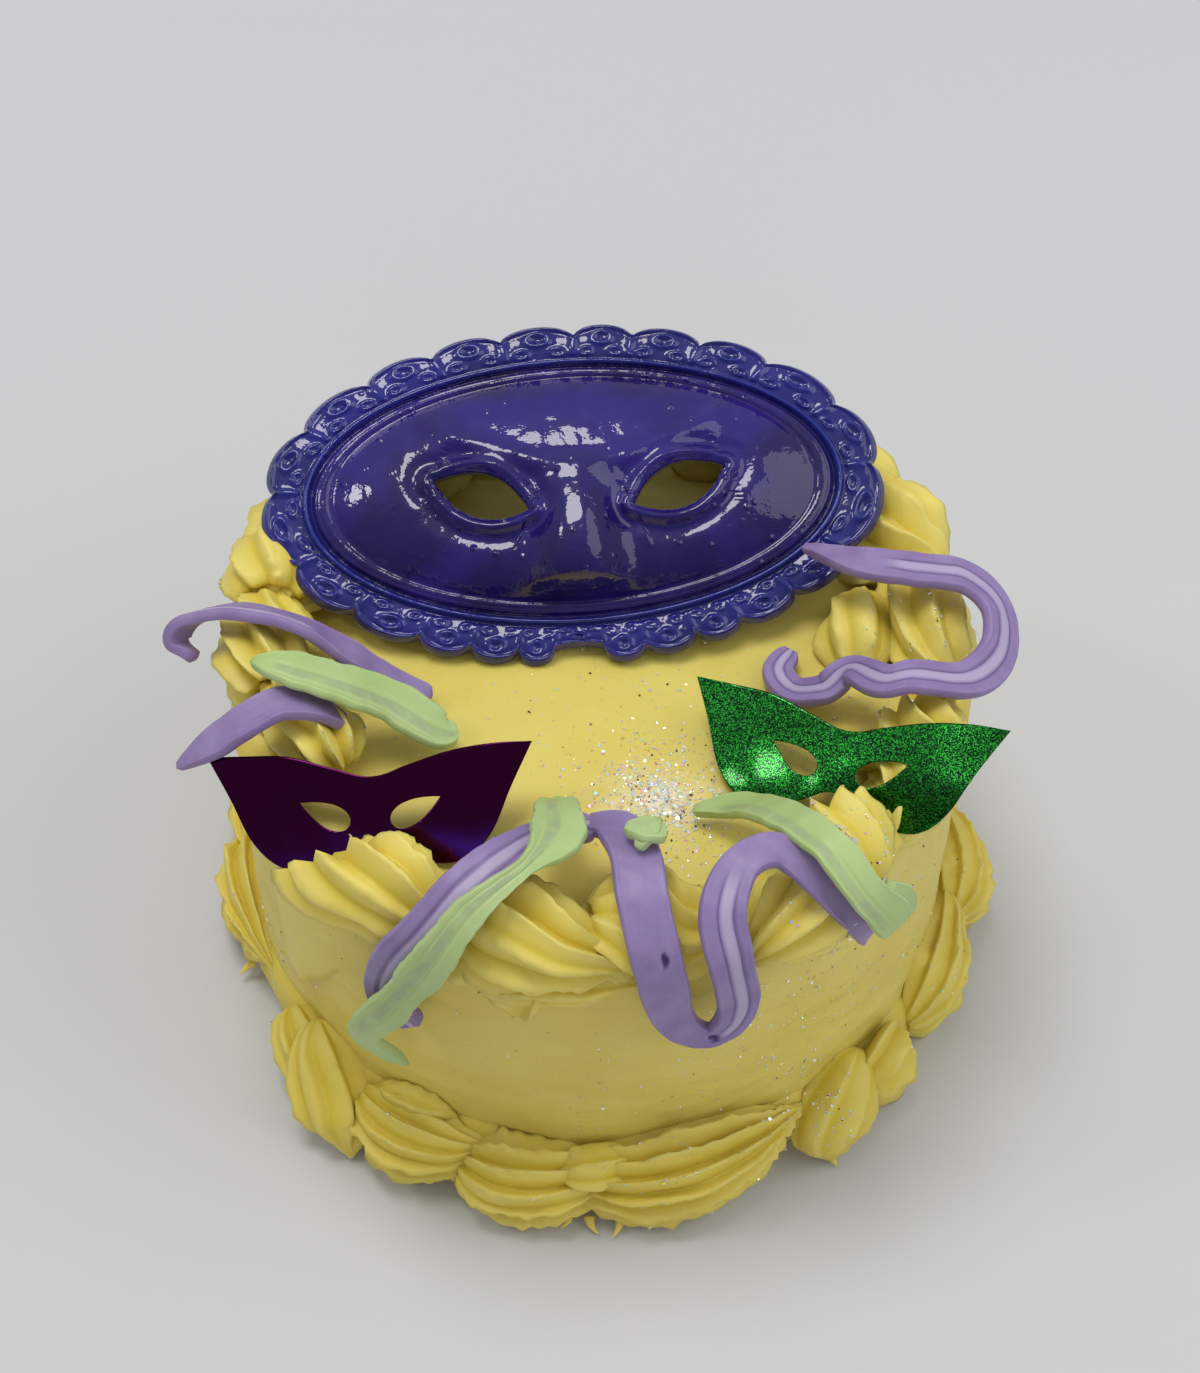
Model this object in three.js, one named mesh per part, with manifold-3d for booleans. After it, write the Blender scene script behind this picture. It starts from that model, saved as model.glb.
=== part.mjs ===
// A small round masquerade cake, 100 mm across: a smooth iced drum with a piped shell border at its top
// and its foot, a lace-edged half mask lying on top, two foil masks, and piped ribbons and leaves.
// Millimetres, +Z up, origin at the middle of the foot, the front of the cake towards -Y.

import * as THREE from 'three';
import Module from 'manifold-3d';
import { mergeVertices } from 'three/addons/utils/BufferGeometryUtils.js';

const wasm = await Module();
wasm.setup();

// Cake drum
const DRUM_RADIUS = 44.5;
const DRUM_HEIGHT = 48.5;
const DRUM_EDGE = 3;
const DRUM_SIDES = 60;
const EDGE_STEPS = 3;
const GAP = 0.3;

// Piped borders: each is a plain core ring with star-tip shells laid over it
const TOP_CORE = { radius: 41, z: 48.8, halfWidth: 4.4, halfHeight: 2.8, sides: 168, section: 15 };
const FOOT_CORE = { radius: 44.4, z: 5, halfWidth: 2.8, halfHeight: 7.2, sides: 120, section: 14 };
const RIDGE_DEPTH = 0.2;
const RIDGE_LEAN = 0.7;
const FARTHEST_REACH = 17;
const REACH_STEP = 0.4;
const REACH_HALVINGS = 4;
const NEAR_SHELL = 16;
const VALLEY_CURVE = 1.5;
const WIDEST = 0.5;
const WIDEST_SHIFT = 0.15;

// Lace mask: half axes of its face, its two rims and its scalloped edge, in its own plane
const FACE = { a: 31, b: 14.9 };
const GROOVE = { a: 32.1, b: 15.9 };
const OUTER_RIM = { a: 33.2, b: 16.9 };
const LACE = { a: 35.2, b: 18.7 };
const EDGE = { a: 36.3, b: 19.7 };
const SCALLOPS = 23;
const SCALLOP_SAMPLES = 3;
const SCALLOP_RISE = 1.75;
const SHORT_SCALLOP = 17;
const SHORT_RISE = -0.6;
const MASK_THICKNESS = 1.6;
const FACE_DOME = 6.2;
const RIM_HEIGHT = 1.5;
const LACE_DOME = 0.7;
const NOSE = { width: 3.4, top: 4, tip: -8.5, height: 4.2, swell: 1.4, drop: 3 };
const EYE = { x: 12.2, y: -0.4, halfLength: 6, halfHeight: 2.9, slant: 17 };
const SOCKET = { depth: 1.1, radius: 3.4, stretch: 1.6 };
const CUTTER_DEPTH = 30;
const DOME_CURVE = 0.6;
const FACE_RINGS = [0.22, 0.42, 0.6, 0.76, 0.9];
const BACK_RINGS = [0.76, 0.42];
const MASK_CENTRE = [-3.3, 17.2, 59.6];
const MASK_LEAN = 62;
const MASK_TURN = 3.5;

// Foil masks, both cut by one die
const FOIL_THICKNESS = 0.4;
const FOIL_EYE = { x: 5.3, y: -1.2, halfLength: 3.2, halfHeight: 1.7, slant: 30 };
const FOIL_GREEN = { centre: [27.7, -19.7, 54.4], across: [0.92, -0.35, 0.16], rise: [0.24, 0.84, 0.48] };
const FOIL_PURPLE = { centre: [-26.3, -25.5, 52.9], across: [0.99, -0.04, 0.13], rise: [-0.04, 0.81, 0.59] };

// Piped ribbons and leaves
const RIBBON_THICKNESS = 1.7;
const LEAF_THICKNESS = 1.5;
const STRIP_SECTION = 6;
const SECTION_SQUARENESS = 0.7;
const END_CAP = 0.4;
const THINNEST = 0.8;
const STEPS_PER_POINT = 2;
const CROWN_INSIDE = 30;
const CROWN_OUTSIDE = 37;

const ICING = new THREE.Color(0.84, 0.75, 0.36);
const LAVENDER = new THREE.Color(0.55, 0.46, 0.71);
const LEAF_GREEN = new THREE.Color(0.68, 0.79, 0.52);
const MASK_BLUE = new THREE.Color(0.13, 0.09, 0.38);
const FOIL_EMERALD = new THREE.Color(0.02, 0.42, 0.14);
const FOIL_BURGUNDY = new THREE.Color(0.16, 0.02, 0.15);

const vec = (x, y, z) => new THREE.Vector3(x, y, z);
const rad = THREE.MathUtils.degToRad;

function polar(angle, radius, z) {
  return vec(radius * Math.cos(angle), radius * Math.sin(angle), z);
}

function solidOf(points, faces) {
  const volume = faces.reduce((sum, [a, b, c]) => {
    return sum + points[a].dot(points[b].clone().cross(points[c]));
  }, 0);
  const outward = volume > 0 ? faces : faces.map(([a, b, c]) => [a, c, b]);
  return new wasm.Manifold(new wasm.Mesh({
    numProp: 3,
    vertProperties: new Float32Array(points.flatMap((p) => p.toArray())),
    triVerts: new Uint32Array(outward.flat()),
  }));
}

// The faces between two neighbouring rings of a surface
function band(from, to, count) {
  return Array.from({ length: count }, (_, k) => {
    const next = (k + 1) % count;
    return [[from + k, from + next, to + k], [from + next, to + next, to + k]];
  }).flat();
}

// A closed surface over a run of rings, with a point at each end
function skin(rings, first, last) {
  const count = rings[0].length;
  const faces = rings.slice(1).flatMap((_, row) => band(row * count, (row + 1) * count, count));
  const start = rings.length * count;
  const bottom = start - count;
  for (let k = 0; k < count; k += 1) {
    const next = (k + 1) % count;
    faces.push([start, next, k], [start + 1, bottom + k, bottom + next]);
  }
  return solidOf([...rings.flat(), first, last], faces);
}

// A closed surface over rings that run round to the first again
function hoop(rings) {
  const count = rings[0].length;
  const faces = rings.flatMap((_, row) => band(row * count, ((row + 1) % rings.length) * count, count));
  return solidOf(rings.flat(), faces);
}

function solidFrom(geometry) {
  geometry.deleteAttribute('normal');
  geometry.deleteAttribute('uv');
  const merged = mergeVertices(geometry);
  return new wasm.Manifold(new wasm.Mesh({
    numProp: 3,
    vertProperties: new Float32Array(merged.attributes.position.array),
    triVerts: new Uint32Array(merged.index.array),
  }));
}

function largestPiece(solid) {
  return solid.decompose().reduce((best, piece) => (piece.volume() > best.volume() ? piece : best));
}

function geometryFrom(solid) {
  const mesh = solid.getMesh();
  const geometry = new THREE.BufferGeometry();
  geometry.setAttribute('position', new THREE.BufferAttribute(mesh.vertProperties, mesh.numProp));
  geometry.setIndex(new THREE.BufferAttribute(mesh.triVerts, 1));
  geometry.computeVertexNormals();
  return geometry;
}

// The drum, grown by a margin when it cuts the borders
function drum(grow) {
  const radius = DRUM_RADIUS + grow;
  const height = DRUM_HEIGHT + grow;
  const profile = [[radius, 0 - grow]];
  for (let i = 0; i <= EDGE_STEPS; i += 1) {
    const a = (Math.PI / 2) * (i / EDGE_STEPS);
    profile.push([radius - DRUM_EDGE * (1 - Math.cos(a)), height - DRUM_EDGE * (1 - Math.sin(a))]);
  }
  const rings = profile.map(([r, z]) => {
    return Array.from({ length: DRUM_SIDES }, (_, k) => polar((2 * Math.PI * k) / DRUM_SIDES, r, z));
  });
  return skin(rings, vec(0, 0, -grow), vec(0, 0, height));
}

// How wide a shell is along its length: round at the head, and pointed at the tail if asked
function shellSwell(u, pointed) {
  const widest = WIDEST + WIDEST_SHIFT * pointed;
  const t = u < widest ? (widest - u) / widest : (u - widest) / (1 - widest);
  return (1 - t * t) ** (u < widest ? 0.5 + pointed : 0.5);
}

// How far a star tip reaches at an angle round the shell: leaning ridges with sharp valleys
function ridgeReach(angle, ridges) {
  const turns = (angle / (2 * Math.PI)) * ridges;
  const phase = turns - Math.floor(turns);
  const fall = phase < RIDGE_LEAN ? phase / RIDGE_LEAN : (1 - phase) / (1 - RIDGE_LEAN);
  return 1 - RIDGE_DEPTH * fall ** VALLEY_CURVE;
}

// Whether a star-tip shell covers a point; its tail and head are given as [degrees, radius, z]
function shellCovers({ tail, head, width, height, ridges, pointed = 0 }, angle, radius, z) {
  const turn = ((((angle - tail[0] + 180) % 360) + 360) % 360) - 180;
  const arc = rad(1) * TOP_CORE.radius;
  const spine = vec((head[0] - tail[0]) * arc, head[1] - tail[1], head[2] - tail[2]);
  const offset = vec(turn * arc, radius - tail[1], z - tail[2]);
  const u = offset.dot(spine) / spine.lengthSq();
  if (u <= 0 || u >= 1) return false;
  const side = spine.clone().cross(vec(0, 0, 1)).normalize();
  const lift = side.clone().cross(spine).normalize();
  const x = offset.dot(side) / (width / 2);
  const y = (offset.dot(lift) - u * spine.dot(lift)) / (height / 2);
  return Math.hypot(x, y) < shellSwell(u, pointed) * ridgeReach(Math.atan2(y, x), ridges);
}

// A border as one closed ring: from the core outward, each ray ends on the farthest shell it meets
function border(shells, core) {
  const rings = [];
  for (let i = 0; i < core.sides; i += 1) {
    const angle = (360 * i) / core.sides;
    const near = shells.filter(({ tail, head }) => {
      const middle = (tail[0] + head[0]) / 2;
      const apart = Math.abs(((((angle - middle) % 360) + 540) % 360) - 180);
      return apart < NEAR_SHELL + Math.abs(tail[0] - head[0]) / 2;
    });
    const ring = [];
    for (let k = 0; k < core.section; k += 1) {
      const way = (2 * Math.PI * k) / core.section;
      const at = (reach) => [core.radius + reach * Math.cos(way), core.z + reach * Math.sin(way)];
      const bare = 1 / Math.hypot(Math.cos(way) / core.halfWidth, Math.sin(way) / core.halfHeight);
      const covered = (reach) => near.some((shell) => shellCovers(shell, angle, ...at(reach)));
      let reach = FARTHEST_REACH;
      while (reach > bare && !covered(reach)) reach -= REACH_STEP;
      let step = REACH_STEP;
      for (let n = 0; n < REACH_HALVINGS && reach > bare; n += 1) {
        step /= 2;
        reach += covered(reach + step) ? step : 0;
      }
      ring.push(polar(rad(angle), ...at(Math.max(reach, bare))));
    }
    rings.push(ring);
  }
  return hoop(rings).trimByPlane([0, 0, 1], 0);
}

// Top border: shells from their tail to their head, mostly pulled along the edge of the cake
const TOP_SHELLS = [
  { tail: [-101.5, 44.2, 49.2], head: [-130.5, 43.4, 50], width: 17, height: 9.5, ridges: 10, pointed: 0.9 },
  { tail: [-84, 44.8, 48], head: [-112, 43.2, 50.8], width: 15, height: 12, ridges: 10, pointed: 0.9 },
  { tail: [-101, 47.7, 41], head: [-97, 45.3, 49], width: 12, height: 5, ridges: 6, pointed: 0.8 },
  { tail: [-66, 43, 48.5], head: [-93, 40.8, 51.3], width: 13.5, height: 12, ridges: 9, pointed: 0.5 },
  { tail: [-71.5, 46.6, 45.5], head: [-51, 43.2, 51], width: 12.5, height: 12, ridges: 9, pointed: 0.9 },
  { tail: [-54, 47.6, 45.5], head: [-45, 36, 53.5], width: 12, height: 8.5, ridges: 7, pointed: 0.4 },
  { tail: [-41, 44, 48.5], head: [-15, 38, 50.4], width: 15.5, height: 11, ridges: 9, pointed: 0.4 },
  { tail: [-8, 31.5, 49.3], head: [15, 32.5, 50.3], width: 10, height: 10, ridges: 6, pointed: 0.2 },
  { tail: [-10, 41.2, 49.5], head: [19, 40, 51], width: 12.5, height: 13, ridges: 8, pointed: 0.3 },
  { tail: [12, 42, 50], head: [36, 39.5, 51], width: 16, height: 13.5, ridges: 9, pointed: 0.3 },
  { tail: [173, 41, 50], head: [148, 40.5, 51], width: 15.5, height: 13.5, ridges: 9, pointed: 0.3 },
  { tail: [149, 43, 50], head: [171, 40.5, 51.2], width: 14.5, height: 13, ridges: 8, pointed: 0.3 },
  { tail: [166, 41.5, 49.5], head: [192, 38.2, 51.3], width: 17, height: 12.5, ridges: 10, pointed: 0.3 },
  { tail: [184, 39.5, 49.2], head: [215.5, 35.5, 49.8], width: 18, height: 11.5, ridges: 10, pointed: 0.3 },
];
const BACK_SHELL = { width: 15.5, height: 13.2, ridges: 9, pointed: 0.3 };
const BACK_RUN = { first: 27, last: 143, count: 8, overlap: 6.5, outer: 41.8, inner: 39.8, rise: 1.6 };

function backShells() {
  const { first, last, count, overlap, outer, inner, rise } = BACK_RUN;
  const step = (last - first) / count;
  return Array.from({ length: count }, (_, i) => {
    const start = first + step * i;
    const sway = i % 2 === 0 ? -0.7 : 0.7;
    return {
      ...BACK_SHELL,
      tail: [start, outer, TOP_CORE.z + rise / 2],
      head: [start + step + overlap, inner + sway / 2, TOP_CORE.z + rise * 1.5],
      width: BACK_SHELL.width + sway,
      height: BACK_SHELL.height - sway,
    };
  });
}

// Foot border: shells pulled round towards the right, each head covering the tail before it
const FOOT_SHELL = { radius: 45.9, z: 5.6, width: 10, height: 15.6, ridges: 11, pointed: 0.45 };
const FOOT_STARTS = [-96, -113, -135];
const FOOT_ENDS = [-55, -88, -105];
const FOOT_DROPS = [
  { tail: [-56, 50.4, 0.8], head: [-45, 45.6, 11.5], width: 13, height: 10, ridges: 8, pointed: 0.4 },
  { tail: [-44, 47.2, 5], head: [-37, 46, 6], width: 10, height: 15, ridges: 8 },
  { tail: [-127, 51.4, 0.8], head: [-140, 45.2, 12.5], width: 12, height: 10, ridges: 8, pointed: 0.5 },
  { tail: [-137, 47.4, 3], head: [-148, 45.4, 8], width: 9, height: 13, ridges: 8, pointed: 0.3 },
];
const FOOT_REST = { first: -32, last: 197, count: 11, overlap: 1.35 };

function footShells() {
  const { radius, z } = FOOT_SHELL;
  const front = FOOT_STARTS.map((start, i) => {
    return { ...FOOT_SHELL, head: [start, radius + 0.2, z], tail: [FOOT_ENDS[i], radius - 0.4, z - 0.5] };
  });
  const { first, last, count, overlap } = FOOT_REST;
  const step = (last - first) / count;
  const rest = Array.from({ length: count }, (_, i) => {
    const start = first + step * i;
    const sway = i % 2 === 0 ? 0.3 : -0.3;
    return {
      ...FOOT_SHELL,
      head: [start, radius + sway, z + sway],
      tail: [start + step * overlap, radius - 0.3, z - 0.4],
      height: FOOT_SHELL.height - 2 * sway,
    };
  });
  return [...front, ...FOOT_DROPS, ...rest];
}

// Points of the mask's outline spaced evenly along its edge
function evenEdgeAngles(samples) {
  const fine = 720;
  const lengths = [0];
  for (let i = 1; i <= fine; i += 1) {
    const a = (2 * Math.PI * (i - 0.5)) / fine;
    lengths.push(lengths[i - 1] + Math.hypot(EDGE.a * Math.sin(a), EDGE.b * Math.cos(a)));
  }
  return Array.from({ length: samples }, (_, k) => {
    const target = (lengths[fine] * k) / samples;
    return (2 * Math.PI * lengths.findIndex((length) => length >= target)) / fine;
  });
}

function bump(distance, width) {
  return Math.exp(-((distance / width) ** 2));
}

// Height of the mask's face above the plane of its lace: a dome, a nose, brows and eye sockets
function faceHeight(x, y) {
  const rho = Math.min(1, Math.hypot(x / FACE.a, y / FACE.b));
  const dome = FACE_DOME * (1 - rho * rho) ** DOME_CURVE;
  const along = (NOSE.top - y) / (NOSE.top - NOSE.tip);
  const ridge = along < 1 ? Math.max(0, along) ** NOSE.swell : Math.max(0, 1 - (along - 1) * NOSE.drop);
  const nose = NOSE.height * ridge * bump(x, NOSE.width);
  const eyes = [-1, 1].reduce((sum, hand) => {
    const [u, v] = eyeFrame(x, y, hand);
    return sum + bump(Math.hypot(u / SOCKET.stretch, v), SOCKET.radius);
  }, 0);
  return dome + nose - SOCKET.depth * eyes;
}

function eyeFrame(x, y, hand) {
  const slant = rad(EYE.slant) * hand;
  const dx = x - hand * EYE.x;
  const dy = y - EYE.y;
  return [dx * Math.cos(slant) + dy * Math.sin(slant), dy * Math.cos(slant) - dx * Math.sin(slant)];
}

function maskPlace() {
  const turn = new THREE.Matrix4().makeRotationZ(rad(MASK_TURN));
  const lean = new THREE.Matrix4().makeRotationX(rad(90 - MASK_LEAN));
  const move = new THREE.Matrix4().makeTranslation(...MASK_CENTRE);
  return move.multiply(lean).multiply(turn);
}

// The lace mask as a bowed sheet, grown by a margin when it cuts the borders
function laceMask(grow) {
  const columns = evenEdgeAngles(SCALLOPS * SCALLOP_SAMPLES);
  const onOval = (oval, height) => columns.map((a) => vec(oval.a * Math.cos(a), oval.b * Math.sin(a), height));
  const onFace = (share) => columns.map((a) => {
    const x = share * FACE.a * Math.cos(a);
    const y = share * FACE.b * Math.sin(a);
    return vec(x, y, faceHeight(x, y));
  });
  const edge = (height) => columns.map((a, k) => {
    const part = (k % SCALLOP_SAMPLES) / SCALLOP_SAMPLES;
    const short = Math.floor(k / SCALLOP_SAMPLES) === SHORT_SCALLOP;
    const rise = (short ? SHORT_RISE : SCALLOP_RISE) * Math.sqrt(1 - (2 * part - 1) ** 2) + grow;
    return vec((EDGE.a + rise) * Math.cos(a), (EDGE.b + rise) * Math.sin(a), height);
  });
  const lift = (ring, by) => ring.map((p) => vec(p.x, p.y, p.z + by));
  const front = [
    ...FACE_RINGS.map(onFace),
    onOval(FACE, RIM_HEIGHT),
    onOval(GROOVE, RIM_HEIGHT / 3),
    onOval(OUTER_RIM, RIM_HEIGHT * 0.8),
    onOval(LACE, LACE_DOME),
    edge(0),
  ].map((ring) => lift(ring, grow));
  const back = [
    edge(-MASK_THICKNESS),
    onOval(OUTER_RIM, -MASK_THICKNESS),
    onOval(FACE, -MASK_THICKNESS),
    ...BACK_RINGS.map((share) => lift(onFace(share), -MASK_THICKNESS)),
  ].map((ring) => lift(ring, -grow));
  const middle = faceHeight(0, 0);
  const sheet = skin([...front, ...back], vec(0, 0, middle + grow), vec(0, 0, middle - MASK_THICKNESS - grow));
  const eyes = grow > 0 ? [] : [-1, 1].map(eyeHole);
  const cut = eyes.reduce((solid, hole) => solid.subtract(hole), sheet);
  return cut.transform(maskPlace().elements);
}

function almond(path, halfLength, halfHeight) {
  path.moveTo(-halfLength, 0);
  path.quadraticCurveTo(0, -2 * halfHeight, halfLength, 0);
  path.quadraticCurveTo(0, 2 * halfHeight, -halfLength, 0);
  return path;
}

function eyeHole(hand) {
  const outline = almond(new THREE.Shape(), EYE.halfLength, EYE.halfHeight);
  const options = { depth: CUTTER_DEPTH, bevelEnabled: false, curveSegments: 6 };
  const hole = new THREE.ExtrudeGeometry(outline, options);
  hole.translate(0, 0, -CUTTER_DEPTH / 2);
  hole.rotateZ(rad(EYE.slant) * hand);
  hole.translate(hand * EYE.x, EYE.y, 0);
  return solidFrom(hole);
}

// A foil mask's right half, from the dip over the nose round to the notch under it
const FOIL_HALF = [
  { by: [4.8, 3.8, 11.4, 6.6], to: [19, 6] },
  { by: [16.9, 2.4, 16.9, 2.4], to: [14, -4] },
  { by: [11.9, -7.4, 11.9, -7.4], to: [7.5, -7.4] },
  { by: [3.8, -7.4, 3, -4.6], to: [0, -4.6] },
];
const FOIL_DIP = 3;

function foilOutline() {
  const outline = new THREE.Shape();
  outline.moveTo(0, FOIL_DIP);
  FOIL_HALF.forEach(({ by, to }) => outline.bezierCurveTo(...by, ...to));
  FOIL_HALF.toReversed().forEach(({ by: [ax, ay, bx, by] }, i) => {
    const [x, y] = i + 1 < FOIL_HALF.length ? FOIL_HALF[FOIL_HALF.length - 2 - i].to : [0, FOIL_DIP];
    outline.bezierCurveTo(-bx, by, -ax, ay, -x, y);
  });
  return outline;
}

function foilEye(hand) {
  const flat = almond(new THREE.Path(), FOIL_EYE.halfLength, FOIL_EYE.halfHeight).getPoints(5);
  const slant = rad(FOIL_EYE.slant) * hand;
  const middle = new THREE.Vector2(hand * FOIL_EYE.x, FOIL_EYE.y);
  const turned = flat.map((p) => p.clone().rotateAround(new THREE.Vector2(), slant).add(middle));
  return new THREE.Path(turned);
}

function foilMask({ centre, across, rise }, grow) {
  const outline = foilOutline();
  outline.holes = grow > 0 ? [] : [-1, 1].map(foilEye);
  const depth = FOIL_THICKNESS + 2 * grow;
  const bevel = { bevelEnabled: grow > 0, bevelSize: grow, bevelThickness: 0.01, bevelSegments: 1 };
  const sheet = new THREE.ExtrudeGeometry(outline, { depth, curveSegments: 7, ...bevel });
  sheet.translate(0, 0, -depth / 2);
  const x = vec(...across).normalize();
  const facing = x.clone().cross(vec(...rise)).normalize();
  sheet.applyMatrix4(new THREE.Matrix4().makeBasis(x, facing.clone().cross(x), facing));
  sheet.translate(...centre);
  return solidFrom(sheet);
}

// The way a strip lying on the cake faces: up on the top, outward on the wall, round over the border
function outward(point) {
  const reach = Math.hypot(point.x, point.y);
  const over = vec(point.x, point.y, 0).multiplyScalar((reach - TOP_CORE.radius) / reach);
  over.z = Math.max(point.z - TOP_CORE.z, 0.4);
  const share = THREE.MathUtils.smoothstep(reach, CROWN_INSIDE, CROWN_OUTSIDE);
  return vec(0, 0, 1).lerp(over.normalize(), share).normalize();
}

// A piped strip through hand-set points of [x, y, z, width, roll in degrees]
function strip(points, thickness, grow) {
  const curve = new THREE.CatmullRomCurve3(points.map((p) => vec(p[0], p[1], p[2])), false, 'centripetal');
  const steps = STEPS_PER_POINT * (points.length - 1);
  const rings = [];
  for (let i = 0; i <= steps; i += 1) {
    const t = i / steps;
    const along = t * (points.length - 1);
    const from = Math.min(Math.floor(along), points.length - 2);
    const blend = along - from;
    const width = THREE.MathUtils.lerp(points[from][3], points[from + 1][3], blend) + 2 * grow;
    const roll = rad(THREE.MathUtils.lerp(points[from][4], points[from + 1][4], blend));
    const centre = curve.getPoint(t);
    const tangent = curve.getTangent(t);
    const across = tangent.clone().cross(outward(centre)).normalize().applyAxisAngle(tangent, roll);
    const face = across.clone().cross(tangent);
    const half = Math.min(thickness, width * THINNEST) / 2 + grow;
    rings.push(Array.from({ length: STRIP_SECTION }, (_, k) => {
      const a = (2 * Math.PI * (k + 0.5)) / STRIP_SECTION;
      const wide = (width / 2) * Math.sign(Math.cos(a)) * Math.abs(Math.cos(a)) ** SECTION_SQUARENESS;
      return centre.clone().addScaledVector(across, wide).addScaledVector(face, half * Math.sin(a));
    }));
  }
  const start = curve.getPoint(0).addScaledVector(curve.getTangent(0), -END_CAP * thickness - grow);
  const end = curve.getPoint(1).addScaledVector(curve.getTangent(1), END_CAP * thickness + grow);
  return skin(rings, start, end);
}

const RIBBON_LEFT_UPPER = [
  [-48, -4.6, 53.6, 2.6, 60], [-50.3, -3, 55.2, 3.8, 60], [-48.4, -1.8, 57.6, 4.4, 50],
  [-42.5, -2.2, 59.4, 4.8, 40], [-35.5, -3.9, 58.9, 4.8, 30], [-29.8, -5.4, 55.6, 4.4, 20],
  [-25, -6.5, 52, 4, 10], [-20, -7.6, 50.2, 2, 0],
];
const RIBBON_LEFT_LOWER = [
  [-49, -20.4, 52.6, 0.8, 0], [-44.6, -19.4, 55.8, 4, 0], [-40.2, -17.8, 58.4, 4.6, 0],
  [-36.6, -16.2, 59.2, 4.6, 0], [-32.6, -15.6, 57.6, 4, 0], [-29.5, -15.4, 54.6, 2.4, 0],
];
const RIBBON_RIGHT = [
  [24.2, 9, 58.6, 0.8, 0], [31, 4.2, 61, 4.2, 0], [37.4, 3.8, 60.2, 4.8, 0], [43.6, 3.2, 59.4, 5, 0],
  [47.2, -0.5, 57.8, 5.2, 0], [46.8, -6.4, 56.8, 5.2, 0], [42.8, -11.2, 57.6, 5, 0],
  [36.4, -12, 59, 4.8, 0], [33, -11.8, 58, 4.6, 0], [29.6, -7.6, 55, 4.4, 0], [26.4, -8.4, 52.4, 4.2, 0],
  [23, -7, 50.6, 4, 0], [21.4, -3.8, 50.4, 3.8, 0], [23.2, -0.6, 50.4, 3, 0],
];
const RIBBON_FRONT_LEFT = [
  [-23.6, -41.2, 33.4, 3.6, 0], [-24.8, -41.6, 37, 5.4, 0], [-22.8, -44.6, 47.8, 5.8, 0],
  [-19.2, -45.4, 54.8, 5.8, 0], [-15.2, -42.6, 58.6, 5.8, 0], [-10.6, -38.6, 59.6, 5.6, 0],
  [-5.6, -34, 58, 5.2, 0], [-0.6, -31.6, 56.4, 4, 0],
];
const RIBBON_FRONT_WAVE = [
  [-1.6, -31.2, 56, 2.4, 0], [1.8, -33.2, 58.2, 5.2, 0], [3.8, -38, 59.8, 5.8, 0],
  [4.6, -43.6, 59.2, 5.8, 0], [6, -47.6, 55.6, 5.8, 0], [8, -48.8, 49.6, 5.8, 0], [10.3, -47.4, 42.4, 5.6, 0],
  [13.1, -46.6, 38.6, 5.2, 0], [15.8, -46.4, 43, 5.6, 0], [15.2, -47.8, 52.6, 5.6, 0],
  [13.9, -44.8, 58.2, 5.4, 0], [15.6, -39.6, 60, 5.4, 0], [19.3, -37.4, 60, 5, 0], [24.2, -40, 57.4, 4.4, 0],
  [28.6, -40.4, 51, 4, 0], [30.6, -37.2, 45, 4, 0],
];
const LEAF_LEFT = [
  [-40.4, -11.6, 61.2, 0.8, 0], [-35.8, -12.7, 61.4, 5.4, 0], [-30.2, -13.4, 59.6, 6.4, 0],
  [-24.6, -13, 56, 6.4, 0], [-18.9, -14.4, 52.4, 6, 0], [-16.8, -14, 51.4, 3.4, 0],
];
const LEAF_FRONT_LEFT = [
  [-4.2, -26.2, 54.4, 2.6, 0], [-4.4, -31, 58.4, 6.4, 0], [-4.8, -36.4, 60.8, 6.2, 10],
  [-8, -41.2, 61.8, 4, 20], [-14, -46, 60, 3.4, 20], [-18.8, -48.4, 53, 4.6, 10],
  [-23.8, -45.4, 40.4, 4.2, 10], [-27.2, -42.4, 30.5, 4.8, 0], [-24.4, -42, 25.4, 1.2, 0],
];
const LEAF_FRONT_RIGHT = [
  [10.6, -25, 50.4, 1, 0], [16, -26.6, 53.6, 4, 0], [20.6, -32.6, 59.4, 4.8, 0], [25.2, -38.6, 61.6, 4.6, 0],
  [29.2, -42.2, 58, 4.6, 0], [32.4, -41.6, 52.6, 5, 0], [33, -39.8, 48.6, 3, 0],
];
const LEAF_DAB = [[2.6, -36.2, 61.6, 1.4, 0], [5, -36.6, 62.2, 3.4, 0], [7.4, -37, 61.6, 2.2, 0]];

const frontRibbon = (grow) => {
  const left = strip(RIBBON_FRONT_LEFT, RIBBON_THICKNESS, grow);
  return left.add(strip(RIBBON_FRONT_WAVE, RIBBON_THICKNESS, grow));
};
const ribbon = (points) => (grow) => strip(points, RIBBON_THICKNESS, grow);
const leaf = (points) => (grow) => strip(points, LEAF_THICKNESS, grow);

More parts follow.
